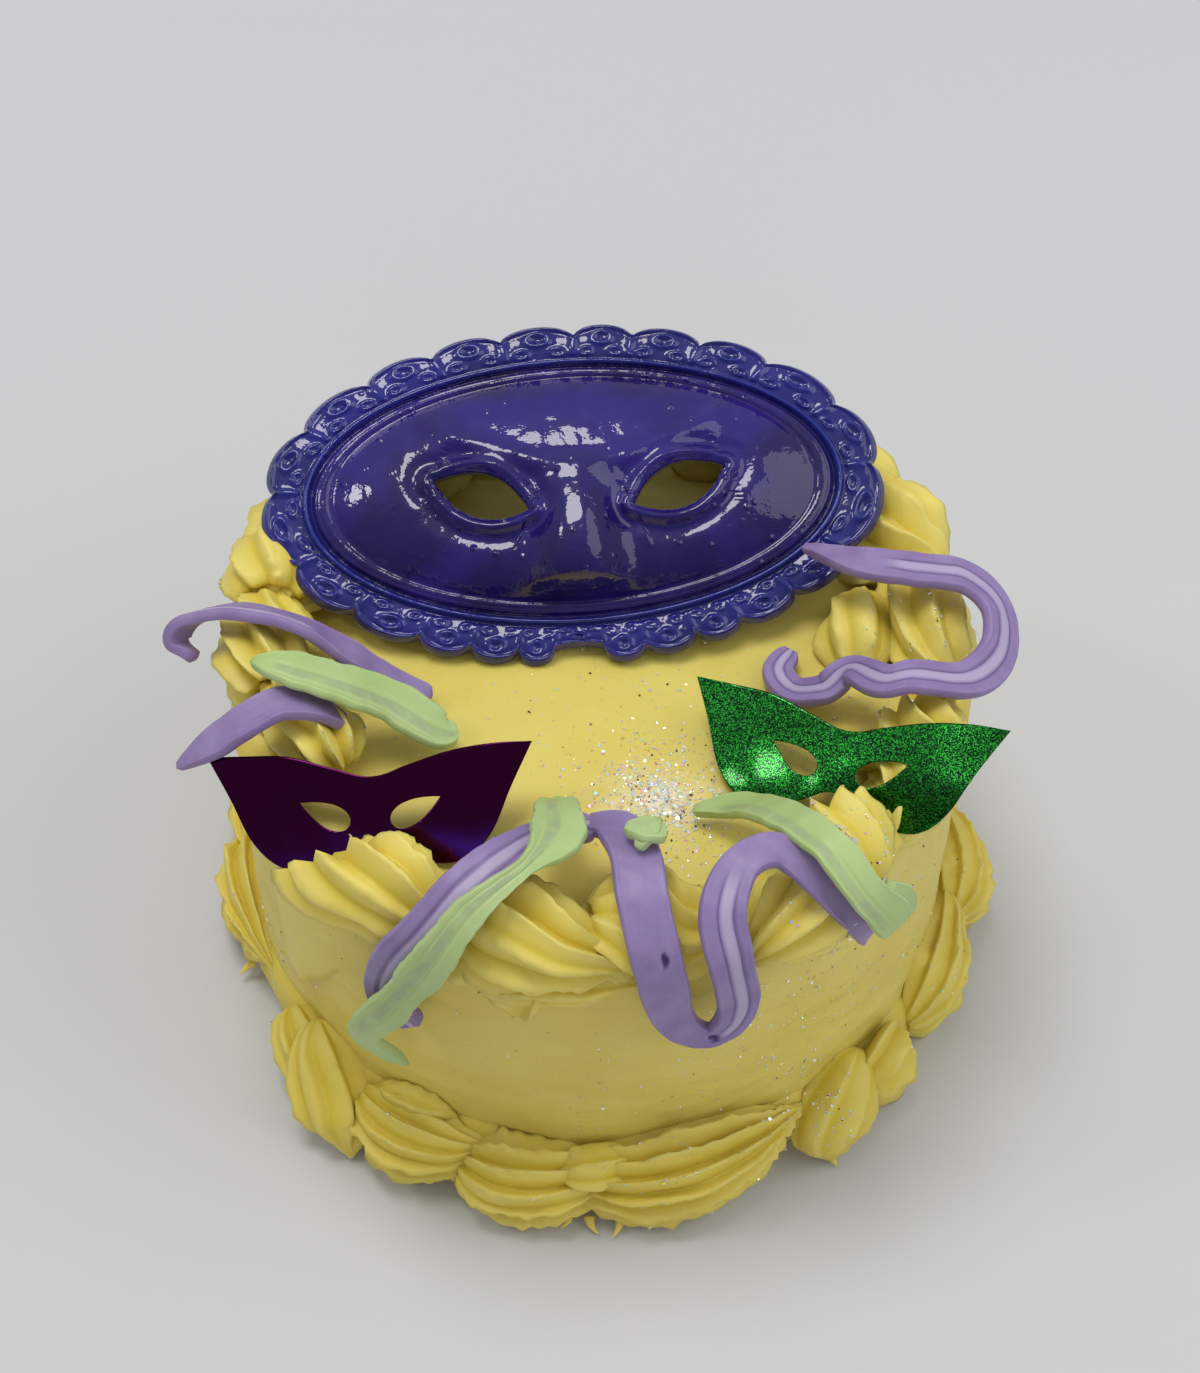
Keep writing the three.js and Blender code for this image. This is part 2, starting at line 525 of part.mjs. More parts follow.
// Every piece as its name, maker, colour, roughness and metalness
const pieces = [
  ['cake_drum', drum, ICING, 0.55, 0],
  ['lace_mask', laceMask, MASK_BLUE, 0.2, 0],
  ['foil_mask_green', (grow) => foilMask(FOIL_GREEN, grow), FOIL_EMERALD, 0.3, 1],
  ['foil_mask_purple', (grow) => foilMask(FOIL_PURPLE, grow), FOIL_BURGUNDY, 0.15, 1],
  ['ribbon_left_upper', ribbon(RIBBON_LEFT_UPPER), LAVENDER, 0.5, 0],
  ['ribbon_left_lower', ribbon(RIBBON_LEFT_LOWER), LAVENDER, 0.5, 0],
  ['ribbon_right', ribbon(RIBBON_RIGHT), LAVENDER, 0.5, 0],
  ['ribbon_front', frontRibbon, LAVENDER, 0.5, 0],
  ['leaf_left', leaf(LEAF_LEFT), LEAF_GREEN, 0.5, 0],
  ['leaf_front_left', leaf(LEAF_FRONT_LEFT), LEAF_GREEN, 0.5, 0],
  ['leaf_front_right', leaf(LEAF_FRONT_RIGHT), LEAF_GREEN, 0.5, 0],
  ['leaf_dab', leaf(LEAF_DAB), LEAF_GREEN, 0.5, 0],
  ['top_border', () => border([...TOP_SHELLS, ...backShells()], TOP_CORE), ICING, 0.55, 0],
  ['foot_border', () => border(footShells(), FOOT_CORE), ICING, 0.55, 0],
];

// Each piece is cut back by a gap from those before it, and the borders from all the rest
const cake = new THREE.Group();
const placed = [];
for (const [name, make, colour, roughness, metalness] of pieces) {
  const clear = placed.reduce((solid, other) => solid.subtract(other), make(0));
  const material = new THREE.MeshStandardMaterial({ color: colour, roughness, metalness });
  const mesh = new THREE.Mesh(geometryFrom(largestPiece(clear)), material);
  mesh.name = name;
  cake.add(mesh);
  if (!name.endsWith('border')) placed.push(make(GAP));
}

export default cake;
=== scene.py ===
"""Dresses the masquerade cake: fine piped icing, a glazed lace mask, foils, ribbons, leaves and glitter.

Shapes are built in millimetres in the part's own frame (+Z up, front towards -Y) and scaled to metres.
"""
import math

import bpy
import numpy as np
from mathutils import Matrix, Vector
from mathutils.bvhtree import BVHTree


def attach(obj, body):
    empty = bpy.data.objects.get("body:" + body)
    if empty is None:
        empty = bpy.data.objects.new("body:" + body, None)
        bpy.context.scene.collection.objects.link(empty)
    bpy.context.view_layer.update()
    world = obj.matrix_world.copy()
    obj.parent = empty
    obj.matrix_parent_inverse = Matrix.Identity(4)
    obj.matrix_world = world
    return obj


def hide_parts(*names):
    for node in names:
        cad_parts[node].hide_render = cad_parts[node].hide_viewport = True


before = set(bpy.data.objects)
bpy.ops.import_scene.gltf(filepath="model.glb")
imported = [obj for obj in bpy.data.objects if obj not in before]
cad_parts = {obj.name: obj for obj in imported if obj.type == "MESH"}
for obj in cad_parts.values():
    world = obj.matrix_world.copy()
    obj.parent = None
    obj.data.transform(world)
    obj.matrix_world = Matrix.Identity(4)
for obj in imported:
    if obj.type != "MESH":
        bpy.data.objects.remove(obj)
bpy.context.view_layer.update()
MM = 0.001
COARSE = 1

# Drum and piping
DRUM_RADIUS = 44.5
DRUM_HEIGHT = 48.5
DRUM_EDGE = 3.0
DRUM_TURNS = 300
DUST = {"x": 6.5, "y": -22, "wide": 5.2, "long": 3.6}
CROWN_RADIUS = 40.8
CROWN_HEIGHT = 49.4
CROWN_BLEND = (30, 37)
RIDGE_DEPTH = 0.3
RIDGE_LEAN = 0.72
STROKE_STEPS = 44
RIDGE_STEPS = 10
TORN_SIZE = 1.3
LUMP_SIZE = 5.0
MOUTH = ((0.25, 0.5), (0.6, 1.4))
RIPPLE_WAVES = 7

# Lace mask, half axes in its own plane
FACE = (31.0, 14.9)
OUTER_RIM = (33.2, 16.9)
EDGE = (36.3, 19.7)
MASK_THICKNESS = 1.6
RIM_RISE = 1.5
FACE_DOME = 6.2
NOSE = {"width": 3.5, "spread": 1.9, "top": 4.0, "tip": -12.0, "height": 5.7}
EYE = {"x": 11.95, "y": -1.2, "shift": 0.85, "length": 6.1, "height": 2.8, "slant": 22.0, "socket": 1.1}
LID = {"at": 0.9, "wide": 0.7, "rise": 0.75}
CREASE = {"at": 2.4, "wide": 1.0, "depth": 0.5}
BROW = {"at": 5.2, "wide": 1.5, "rise": 0.9, "long": 8, "bend": 0.02}
LUMP = 0.025
MASK_CENTRE = (-3.3, 17.2, 59.6)
MASK_LEAN = 62.0
MASK_TURN = 3.5
SCALLOP_STEPS = 24
SCALLOP_RISE = 1.75
SCALLOP_WIDTH = 5.6
SCALLOP_DEPTH = 4.8

# Foil masks
FOIL_HALF_WIDTH = 19
FOIL_THICKNESS = 0.18
FOIL_BULGE = 3.4
FOIL_EYE = {"x": 5.3, "y": -1.2, "shift": 0, "length": 3.2, "height": 1.4, "slant": 26.0, "drop": 0.92}


def srgb(red, green, blue):
    """A colour given as 0-255 screen values, in linear light."""
    def linear(v):
        v /= 255
        return v / 12.92 if v <= 0.04045 else ((v + 0.055) / 1.055) ** 2.4
    return linear(red), linear(green), linear(blue), 1.0


def unit(rows):
    return rows / np.maximum(np.linalg.norm(rows, axis=-1, keepdims=True), 1e-9)


def smoothstep(x, low, high):
    t = np.clip((x - low) / (high - low), 0, 1)
    return t * t * (3 - 2 * t)


def hump(x, at, width, power=2):
    """A smooth rise to 1 at a place, and of about the given half width."""
    return np.exp(-(((x - at) / width) ** power))


def ripple(points, size, seed):
    """Smooth uneven values near -1 to 1 through space, with bumps of about the given size."""
    draw = np.random.default_rng(seed)
    ways = draw.normal(size=(RIPPLE_WAVES, 3)) * (2.2 / size)
    shifts = draw.uniform(0, 2 * math.pi, RIPPLE_WAVES)
    return np.sin(points @ ways.T + shifts).sum(axis=-1) / math.sqrt(RIPPLE_WAVES)


def through(rows, t):
    """Points at t (0 to 1) on a smooth curve through the rows."""
    rows = np.asarray(rows, float)
    ends = np.vstack([2 * rows[0] - rows[1], rows, 2 * rows[-1] - rows[-2]])
    along = np.asarray(t) * (len(rows) - 1)
    i = np.minimum(along.astype(int), len(rows) - 2)
    f = (along - i)[:, None]
    a, b, c, d = ends[i], ends[i + 1], ends[i + 2], ends[i + 3]
    return 0.5 * (2 * b + (c - a) * f + (2 * a - 5 * b + 4 * c - d) * f**2 + (3 * b - a - 3 * c + d) * f**3)


def cylindrical(rows):
    """Rows of (degrees, radius, z) as points."""
    angle, radius, z = np.radians(rows[..., 0]), rows[..., 1], rows[..., 2]
    return np.stack([radius * np.cos(angle), radius * np.sin(angle), z], axis=-1)


def outward(points):
    """The way a thing lying on the cake faces: up on the top, round over the border, out on the wall."""
    reach = np.maximum(np.hypot(points[:, 0], points[:, 1]), 1e-6)
    flat = points[:, :2] * ((reach - CROWN_RADIUS) / reach)[:, None]
    over = unit(np.column_stack([flat, np.maximum(points[:, 2] - CROWN_HEIGHT, 0.4)]))
    share = smoothstep(reach, *CROWN_BLEND)[:, None]
    return unit(np.array([0, 0, 1.0]) * (1 - share) + over * share)


def added(name, data):
    thing = bpy.data.objects.new(name, data)
    bpy.context.scene.collection.objects.link(thing)
    return thing


class Build:
    """Gathers closed patches of one piece before it becomes a mesh."""

    def __init__(self):
        self.points = []
        self.faces = []
        self.marks = []
        self.count = 0

    def add(self, points, faces, marks=None):
        self.points.append(points)
        self.faces += [[corner + self.count for corner in face] for face in faces]
        self.marks.append(np.zeros(len(points)) if marks is None else marks)
        self.count += len(points)

    def tube(self, rings, marks=None):
        """A closed skin over rings of equal length, with a middle point at each end."""
        rows, columns = rings.shape[:2]
        a, b = rings[:-1], np.roll(rings[:-1], -1, axis=1)
        d, c = rings[1:], np.roll(rings[1:], -1, axis=1)
        about = rings.reshape(-1, 3).mean(axis=0)
        areas = np.cross(b - about, c - about) + np.cross(c - about, d - about)
        inside_out = ((a - about) * areas).sum() < 0
        middles = np.stack([rings[0].mean(axis=0), rings[-1].mean(axis=0)])
        points = np.vstack([rings.reshape(-1, 3), middles])
        faces = []
        for i in range(rows - 1):
            at = i * columns
            for k in range(columns):
                n = (k + 1) % columns
                faces.append([at + k, at + n, at + columns + n, at + columns + k])
        first, last, end = rows * columns, rows * columns + 1, (rows - 1) * columns
        for k in range(columns):
            n = (k + 1) % columns
            faces.append([first, n, k])
            faces.append([last, end + k, end + n])
        if inside_out:
            faces = [face[::-1] for face in faces]
        flat = None if marks is None else np.append(marks.reshape(-1), [marks[0].mean(), marks[-1].mean()])
        self.add(points, faces, flat)

    def mesh(self, name):
        mesh = bpy.data.meshes.new(name)
        mesh.from_pydata((np.vstack(self.points) * MM).tolist(), [], self.faces)
        mesh.attributes.new("mark", "FLOAT", "POINT").data.foreach_set("value", np.concatenate(self.marks))
        mesh.polygons.foreach_set("use_smooth", np.ones(len(mesh.polygons), bool))
        mesh.update()
        return added(name, mesh)


def dress(piece, paint, slot, *nodes):
    piece.data.materials.clear()
    piece.data.materials.append(paint)
    if nodes:
        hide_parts(*nodes)
    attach(piece, "root")


def ridge_fall(turns):
    """0 on a ridge's crest and 1 in its valley: a long slope up and a short steep side."""
    phase = turns - np.floor(turns)
    return np.where(phase < RIDGE_LEAN, phase / RIDGE_LEAN, (1 - phase) / (1 - RIDGE_LEAN))


def piped(build, spine, width, height, ridges, pointed=0.0, open_end=0.0, depth=RIDGE_DEPTH, lean=1,
          twist=0.0, teeth=1.2, skew=0.0, tear=0.25, rough=0.28, seed=0, floor=None, up=None):
    """A stroke of a star tip along (degrees, radius, z) rows from its tail to its head."""
    rows = STROKE_STEPS // COARSE
    columns = ridges * (RIDGE_STEPS // COARSE)
    t = 0.5 - 0.5 * np.cos(np.linspace(0, math.pi, rows))
    centre = cylindrical(through(spine, t))
    ahead = unit(np.gradient(centre, axis=0))
    hint = outward(centre) if up is None else np.array(up, float)
    side = unit(np.cross(ahead, hint))
    lift = np.cross(side, ahead)
    widest = 0.5 + 0.15 * pointed + 0.25 * open_end
    tail = np.clip((widest - t) / widest, 0, 1)
    head = np.clip((t - widest) / (1 - widest), 0, 1)
    closing = (1 - head**2) ** 0.5 * (1 - open_end) + open_end * (1 - 0.18 * head**2)
    swell = np.maximum(np.where(t < widest, (1 - tail**2) ** (0.5 + pointed), closing), 0.02)
    draw = np.random.default_rng(seed + 11)
    angle = np.linspace(0, 2 * math.pi, columns, endpoint=False)
    uneven = draw.normal(size=ridges) * 0.12
    turns = angle / (2 * math.pi) * ridges
    own = np.floor(turns).astype(int) % ridges
    fall = ridge_fall(turns)
    strength = 1 + uneven[own] * 1.6
    cutting = (0.35 + 0.65 * smoothstep(t, 0.02, 0.3))[:, None]
    reach = 1 - depth * strength * fall**0.9 * cutting
    around = angle + twist * (t[:, None] - 0.5) + lean * 0.45 / ridges * (1 - fall)
    across = width / 2 * swell[:, None] * reach * np.cos(around)
    upward = height / 2 * swell[:, None] * reach * np.sin(around)
    rings = centre[:, None] + across[..., None] * side[:, None] + upward[..., None] * lift[:, None]
    flat = rings.reshape(-1, 3)
    crest = 1 - fall
    torn = ripple(flat, TORN_SIZE, seed + 3).reshape(rows, columns) * crest**3 * tear
    lumps = ripple(flat, LUMP_SIZE, seed + 5).reshape(rows, columns) * rough
    spread = unit(rings - centre[:, None])
    rings = rings + spread * (torn + lumps)[..., None]
    push = open_end * smoothstep(t, 0.7, 1.0)[:, None] * (teeth * crest - 0.6 + uneven[own] * 3.5)
    push = push + skew * smoothstep(t, 0.15, 1.0)[:, None] * np.cos(around)
    rings = rings + push[..., None] * ahead[:, None]
    # marks: painted shade, strongest in each ridge's valley and weaker near the tail
    marks = fall**1.4 * (0.4 + 0.6 * smoothstep(t, 0, 0.35))[:, None]
    if open_end:
        mouth = [rings[-1] * (1 - s) + rings[-1].mean(axis=0) * s - ahead[-1] * drop
                 for s, drop in MOUTH]
        rings = np.concatenate([rings, np.stack(mouth)])
        # painted shade inside the open mouth
        marks = np.concatenate([marks, np.full((2, columns), 0.9)])
    if floor is not None:
        rings[..., 2] = np.maximum(rings[..., 2], floor)
    build.tube(rings, marks)


def peak(build, angle, radius, z, length, width, lean):
    """A little pulled-out point of icing at the foot border."""
    t = np.linspace(0, 1, 9)
    droop = 0.35 * length * t**1.5
    spine = cylindrical(np.column_stack([angle + lean * t**2, radius + length * t, z - droop]))
    ahead = unit(np.gradient(spine, axis=0))
    side = unit(np.cross(ahead, [0, 0, 1.0]))
    lift = np.cross(side, ahead)
    around = np.linspace(0, 2 * math.pi, 10, endpoint=False)
    size = width / 2 * (1 - t) ** 0.8 + 0.04
    rings = spine[:, None] + size[:, None, None] * (
        np.cos(around)[:, None] * side[:, None] + 0.6 * np.sin(around)[:, None] * lift[:, None])
    rings[..., 2] = np.maximum(rings[..., 2], 0.05)
    build.tube(rings)


def ring_core(build, radius, z, half_width, half_height, seed, floor=None, dip=(0, 1, 0)):
    """The plain ring of icing that the strokes lie on, with a dip of (degrees, spread, depth)."""
    turns = 240 // COARSE
    section = 24
    angle = np.linspace(0, 2 * math.pi, turns, endpoint=False)
    way = np.linspace(0, 2 * math.pi, section, endpoint=False)
    r = radius + half_width * np.cos(way)
    h = (z + half_height * np.sin(way)) * np.ones((turns, 1))
    points = np.stack([r * np.cos(angle)[:, None], r * np.sin(angle)[:, None], h], axis=-1)
    rough = ripple(points.reshape(-1, 3), 6.0, seed).reshape(turns, section) * 0.35
    middle = cylindrical(np.column_stack([np.degrees(angle), np.full(turns, radius), np.full(turns, z)]))
    points = points + unit(points - middle[:, None]) * rough[..., None]
    away = (np.degrees(angle) - dip[0] + 180) % 360 - 180
    points[..., 2] -= dip[2] * hump(away, 0, dip[1], 4)[:, None]
    if floor is not None:
        points[..., 2] = np.maximum(points[..., 2], floor)
    faces = []
    for i in range(turns):
        j = (i + 1) % turns
        for k in range(section):
            n = (k + 1) % section
            faces.append([i * section + k, j * section + k, j * section + n, i * section + n])
    # A mark of 0.55 all over: painted shade on the core, under and between the strokes
    build.add(points.reshape(-1, 3), faces, np.full(turns * section, 0.55))


# Drum: a spatula-smoothed lathe, a little uneven
def drum():
    turns = DRUM_TURNS // COARSE
    top = [(r, DRUM_HEIGHT) for r in np.linspace(0.8, DRUM_RADIUS - DRUM_EDGE, 46 // COARSE)]
    bend = [(DRUM_RADIUS - DRUM_EDGE * (1 - math.sin(a)), DRUM_HEIGHT - DRUM_EDGE * (1 - math.cos(a)))
            for a in np.linspace(0, math.pi / 2, 8)[1:]]
    wall = [(DRUM_RADIUS, z) for z in np.linspace(DRUM_HEIGHT - DRUM_EDGE, 0, 50 // COARSE)[1:]]
    profile = np.array(top + bend + wall)
    angle = np.linspace(0, 2 * math.pi, turns, endpoint=False)
    radius, z = profile[:, :1], profile[:, 1:]
    rings = np.stack([radius * np.cos(angle), radius * np.sin(angle), z * np.ones(turns)], axis=-1)
    flat = rings.reshape(-1, 3)
    swells = (ripple(flat, 17, 5) * 0.3 + ripple(flat * [1, 1, 3.5], 9, 6) * 0.12).reshape(rings.shape[:2])
    on_top = z >= DRUM_HEIGHT - 0.01
    away = unit(rings * [1, 1, 0])
    rings = rings + np.where(on_top, 0, swells)[..., None] * away
    rings[..., 2] += np.where(on_top, swells * 0.8, 0)
    rings[-1, :, 2] = 0
    dust = hump(rings[..., 0], DUST["x"], DUST["wide"]) * hump(rings[..., 1], DUST["y"], DUST["long"])
    specks = 0.6 + 0.4 * ripple(flat, 1.3, 9).reshape(rings.shape[:2])
    build = Build()
    build.tube(rings, np.clip(dust * specks, 0, 1))
    return build.mesh("drum")


# Top border: strokes as (spine rows of degrees, radius, z), width, height, ridges and the rest by name
TOP_CORE = {"radius": 41.0, "z": 48.6, "half_width": 4.2, "half_height": 2.6, "seed": 21,
            "dip": (-139, 19, 3.4)}
TOP_STROKES = [
    ([(-101.5, 44.4, 49), (-112, 44.8, 50), (-123, 44.4, 51), (-133, 44.2, 51.4)], 16.5, 9.5, 10,
     {"pointed": 0.9, "open_end": 1.0, "teeth": 2.0, "skew": -5.5, "depth": 0.24}),
    ([(-79, 45.4, 46.2), (-91, 46.2, 46), (-103, 46.5, 45.8)], 5, 6, 5,
     {"pointed": 0.9, "open_end": 0.9, "teeth": 2.4, "skew": -1.5}),
    ([(-84, 44.8, 47.5), (-92, 44.8, 49.2), (-101, 44, 50.5), (-109, 43, 50.8)], 15, 12, 10,
     {"pointed": 0.9, "open_end": 0.5}),
    ([(-66, 43, 48.5), (-80, 41.5, 50), (-92, 40.8, 51.5)], 13.5, 12, 9, {"pointed": 0.5, "open_end": 0.4}),
    ([(-71.5, 46.6, 45.5), (-63, 45.4, 49), (-53, 43.4, 51)], 12.5, 12, 9,
     {"pointed": 0.9, "open_end": 0.6}),
    ([(-54, 47.6, 45.5), (-49, 43.8, 51), (-45.5, 37.5, 53)], 12, 8.5, 7,
     {"pointed": 0.4, "open_end": 0.9, "teeth": 1.8}),
    ([(-41, 44, 48.5), (-29, 41.5, 49.8), (-17, 38.2, 50.4)], 15.5, 11, 9,
     {"pointed": 0.4, "open_end": 0.8, "teeth": 1.6}),
    ([(-8, 31.5, 49), (3, 31, 50.5), (15, 33, 50.3)], 10, 10, 6, {"pointed": 0.2}),
    ([(-10, 41.2, 49.5), (4, 39.6, 50.8), (19, 40, 51)], 12.5, 13, 8, {}),
    ([(12, 42, 50), (24, 40, 50.8), (36, 39.5, 51)], 16, 13.5, 9, {"open_end": 0.2}),
    ([(173, 41, 50), (160, 40.5, 50.8), (148, 40.5, 51)], 15.5, 13.5, 9, {"open_end": 0.2}),
    ([(149, 43, 50), (160, 41.8, 51.2), (171, 40.5, 51.2)], 14.5, 13, 8, {"open_end": 0.7}),
    ([(166, 41.5, 49.5), (176, 40, 51.2), (-175, 38.8, 51.5), (-169, 38.2, 51)], 17, 12.5, 10,
     {"open_end": 0.9, "teeth": 1.6}),
    ([(-176, 39.5, 49), (-163, 37.5, 50.5), (-155, 36, 49.6), (-149, 35, 48.6)], 17, 11, 10,
     {"open_end": 0.5}),
]
BACK = {"first": 30, "last": 146, "count": 8, "radius": 40.6, "width": 15.5, "height": 13.2, "ridges": 9}

# Thin torn sheets of icing that hang over the wall: rows of degrees, radius and z along their free edge
SHEET_FRONT = [(-114, 45.4, 46), (-111.5, 46.8, 43.4), (-107, 47.8, 43), (-103, 48.6, 42.6),
               (-100.2, 49.4, 41.8), (-97.5, 48.8, 44), (-92, 47.2, 45.6), (-84, 46.6, 45.4), (-76, 46, 44.6),
               (-72, 45.4, 46)]
SHEET_LEFT = [(-151, 44.2, 38), (-149, 45.6, 28), (-146.6, 46, 21), (-144, 45.9, 19), (-141.4, 45.5, 21),
              (-136, 44.7, 26), (-128, 43.8, 34)]


def hanging(build, edge, top, thickness, ridges, depth, seed):
    """A thin sheet from a top edge of (radius, z) down to its free edge, with ridges that fan out."""
    columns, rows = 90 // COARSE, 16
    line = through(edge, np.linspace(0, 1, columns))
    v = np.linspace(0, 1, rows)[None, :]
    u = np.linspace(0, 1, columns)[:, None]
    torn = 0.3 * ripple(line, 1.2, seed)[:, None] * v**3
    middle = line[:, 0].mean()
    fan = middle + (line[:, :1] - middle) * (0.72 + 0.28 * v)
    fall = ridge_fall(u * ridges + 0.4 * v)
    radius = top[0] + (line[:, 1:2] - top[0]) * v + 0.7 * np.sin(math.pi * v) - depth * fall * v**0.7
    height = top[1] + (line[:, 2:3] - top[1]) * v + torn
    front = cylindrical(np.stack([fan, radius, height], axis=-1))
    inner = radius - thickness * (1 - 0.7 * v)
    back = cylindrical(np.stack([fan, inner, height], axis=-1))
    # marks: painted shade in the front's grooves, and 0.4 over the back that faces the wall
    marks = np.concatenate([fall * depth * v**0.7, np.full((columns, rows), 0.4)], axis=1)
    build.tube(np.concatenate([front, back[:, ::-1]], axis=1), marks)


def unwrapped(rows):
    """Angles made to run on without a jump at the back of the circle."""
    rows = np.array(rows, float)
    rows[:, 0] = np.degrees(np.unwrap(np.radians(rows[:, 0])))
    return rows


def strokes(build, rows, seed, **usual):
    """Strokes with the usual settings, unless a stroke names its own."""
    for i, (spine, width, height, ridges, more) in enumerate(rows):
        piped(build, unwrapped(spine), width, height, ridges, seed=seed + i, **{**usual, **more})


def top_border():
    build = Build()
    ring_core(build, **TOP_CORE)
    strokes(build, TOP_STROKES, 0, pointed=0.3)
    hanging(build, SHEET_FRONT, (44.6, 49), 1.5, 5.5, 0.9, 31)
    hanging(build, SHEET_LEFT, (44.4, 47), 0.9, 1.5, 0.15, 32)
    step = (BACK["last"] - BACK["first"]) / BACK["count"]
    for i in range(BACK["count"]):
        start = BACK["first"] + step * i
        sway = 0.7 if i % 2 else -0.7
        spine = [(start - 3, BACK["radius"] + 1.2, 49.6), (start + step * 0.5, BACK["radius"] + sway, 50.8),
                 (start + step * 1.25, BACK["radius"] - 0.8, 51.2)]
        piped(build, spine, BACK["width"] + sway, BACK["height"] - sway, BACK["ridges"],
              pointed=0.3, open_end=0.3, seed=40 + i)
    return build.mesh("top_piping")


# Foot border: strokes pulled round towards the right, each head over the tail before it
FOOT_CORE = {"radius": 44.0, "z": 4.6, "half_width": 2.4, "half_height": 5.4, "seed": 22, "floor": 0.0}
FOOT_STROKES = [
    ([(-56, 45.8, 9), (-67, 46.6, 7.6), (-81, 47.4, 6), (-94, 47, 5.4)], 11.5, 15.5, 13,
     {"pointed": 0.8, "depth": 0.3, "lean": -2.2, "tear": 0.4}),
    ([(-84, 46.2, 9), (-90, 47.4, 9.2), (-96.5, 48, 8.4)], 6.5, 6.5, 6, {"pointed": 0.5, "depth": 0.2}),
    ([(-86, 45.6, 6.5), (-94, 47, 5.6), (-103, 47.8, 4.8), (-111.5, 46.8, 5)], 12, 14.5, 12,
     {"pointed": 0.75, "depth": 0.32, "lean": -2.2, "tear": 0.4}),
    ([(-105, 45.6, 7.6), (-113, 46.8, 6.6), (-121, 47, 6), (-129.5, 46.2, 7)], 11, 14, 12,
     {"pointed": 0.75, "depth": 0.3, "lean": -2.2, "tear": 0.4}),
    ([(-113, 44.8, 10.5), (-119, 45.6, 11.2), (-126, 45.8, 11)], 5, 5.5, 5, {"pointed": 0.6, "depth": 0.2}),
    ([(-55.5, 50.6, 0.7), (-53, 47.8, 5), (-45, 45.4, 11.5)], 12, 9.5, 7,
     {"pointed": 0.5, "depth": 0.07, "up": None}),
    ([(-47, 47.4, 4.6), (-41, 46.6, 6), (-35, 45.8, 6.2)], 10, 15, 8, {}),
    ([(-127, 51.6, 0.7), (-131, 48.6, 5), (-141, 45.2, 12.5)], 12, 10, 8, {"pointed": 0.7}),
    ([(-136, 47.6, 3), (-142, 46.6, 5.5), (-149, 45.4, 8)], 9.5, 13, 8, {"pointed": 0.3}),
]
FOOT_REST = {"first": -32, "last": 197, "count": 11, "overlap": 1.35,
             "width": 10, "height": 15.6, "ridges": 11}
SOFT_STROKES = 3
SOFT = {"depth": 0.17, "rough": 0.6}
CRISP = {"depth": 0.28, "rough": 0.34}
PEAKS = [(-94.4, 50.1, 1.4, 1.5, 1.2, -1), (-91.5, 49.9, 1.2, 2.0, 1.5, 1.3),
         (-87.2, 50.2, 1.2, 2.2, 1.3, -1.2), (-82.5, 50, 1.4, 1.8, 1.6, -1),
         (-164, 47, 2.5, 2.2, 1.6, 1), (-55, 50, 1.0, 1.6, 1.6, 0)]


def foot_border():
    build = Build()
    ring_core(build, **FOOT_CORE)
    strokes(build, FOOT_STROKES, 60, floor=0.0, lean=-1, up=(0, 0, 1))
    step = (FOOT_REST["last"] - FOOT_REST["first"]) / FOOT_REST["count"]
    for i in range(FOOT_REST["count"]):
        start = FOOT_REST["first"] + step * i
        sway = 0.3 if i % 2 else -0.3
        uneven = 0.6 * math.sin(2.4 * i)
        spine = [(start + step * FOOT_REST["overlap"], 45.4, 8.4 + uneven),
                 (start + step * 0.6, 46.2 + sway, 6.4), (start + uneven, 45.9 + sway, 5.2 + sway)]
        piped(build, spine, FOOT_REST["width"] + uneven, FOOT_REST["height"] - 2 * sway, FOOT_REST["ridges"],
              pointed=0.8, open_end=0.1, lean=-1.8, twist=0.5, tear=0.32, seed=80 + i, floor=0.0,
              up=(0, 0, 1), **(SOFT if i < SOFT_STROKES else CRISP))
    for values in PEAKS:
        peak(build, *values)
    return build.mesh("foot_piping")


# Lace mask
VALLEYS = [-167.8, -154.2, -139.4, -126.2, -111.9, -99.7, -82.5, -68.4, -53.1, -41.3, -28.4, -15.3, 2.2, 15.4,
           30.5, 46.4, 66.3, 86.7, 112.4, 132.7, 148.8, 163.7, 176.9]
SHORT_SCALLOP = 5


def eye_frame(x, y, hand, eye):
    slant = math.radians(eye["slant"]) * hand
    dx, dy = x - hand * eye["x"] - eye["shift"], y - eye["y"]
    return dx * math.cos(slant) + dy * math.sin(slant), dy * math.cos(slant) - dx * math.sin(slant)


def almond_distance(u, v, eye):
    """Rough distance from the almond's edge, negative inside it."""
    length, height = eye["length"], eye["height"]
    bow = height * (1 - np.clip(u / length, -1, 1) ** 2)
    steep = np.sqrt(1 + (2 * height * u / length**2) ** 2)
    past = np.maximum(np.abs(u) - length, 0)
    return np.where(past > 0, np.hypot(past, v), (np.abs(v) - bow) / steep)


def face_height(x, y):
    """Height of the mask's face over the plane of its lace."""
    rho = np.minimum(1, np.hypot(x / FACE[0], y / FACE[1]))
    dome = FACE_DOME * (1 - rho**2) ** 0.6
    along = (NOSE["top"] - y) / (NOSE["top"] - NOSE["tip"])
    down = np.clip(along, 0, 1)
    ridge = (down - 0.18 * down**6) * (1 - smoothstep(along, 1.0, 1.13))
    half = NOSE["width"] + NOSE["spread"] * down**2
    nose = NOSE["height"] * ridge * hump(np.abs(x), 0, half, 3)
    height = dome + nose + LUMP * ripple(np.stack([x, y, 0 * x], axis=-1), 2.4, 3)
    for hand in (-1, 1):
        u, v = eye_frame(x, y, hand, EYE)
        gap = almond_distance(u, v, EYE)
        brow = hump(v, BROW["at"] + BROW["bend"] * u * u, BROW["wide"]) * hump(u, 0, BROW["long"])
        height = height - EYE["socket"] * hump(np.hypot(u / 1.6, v), 0, 3.4)
        height = height + LID["rise"] * hump(gap, LID["at"], LID["wide"])
        height = height - CREASE["depth"] * hump(gap, CREASE["at"], CREASE["wide"])
        height = height + BROW["rise"] * brow
    return height


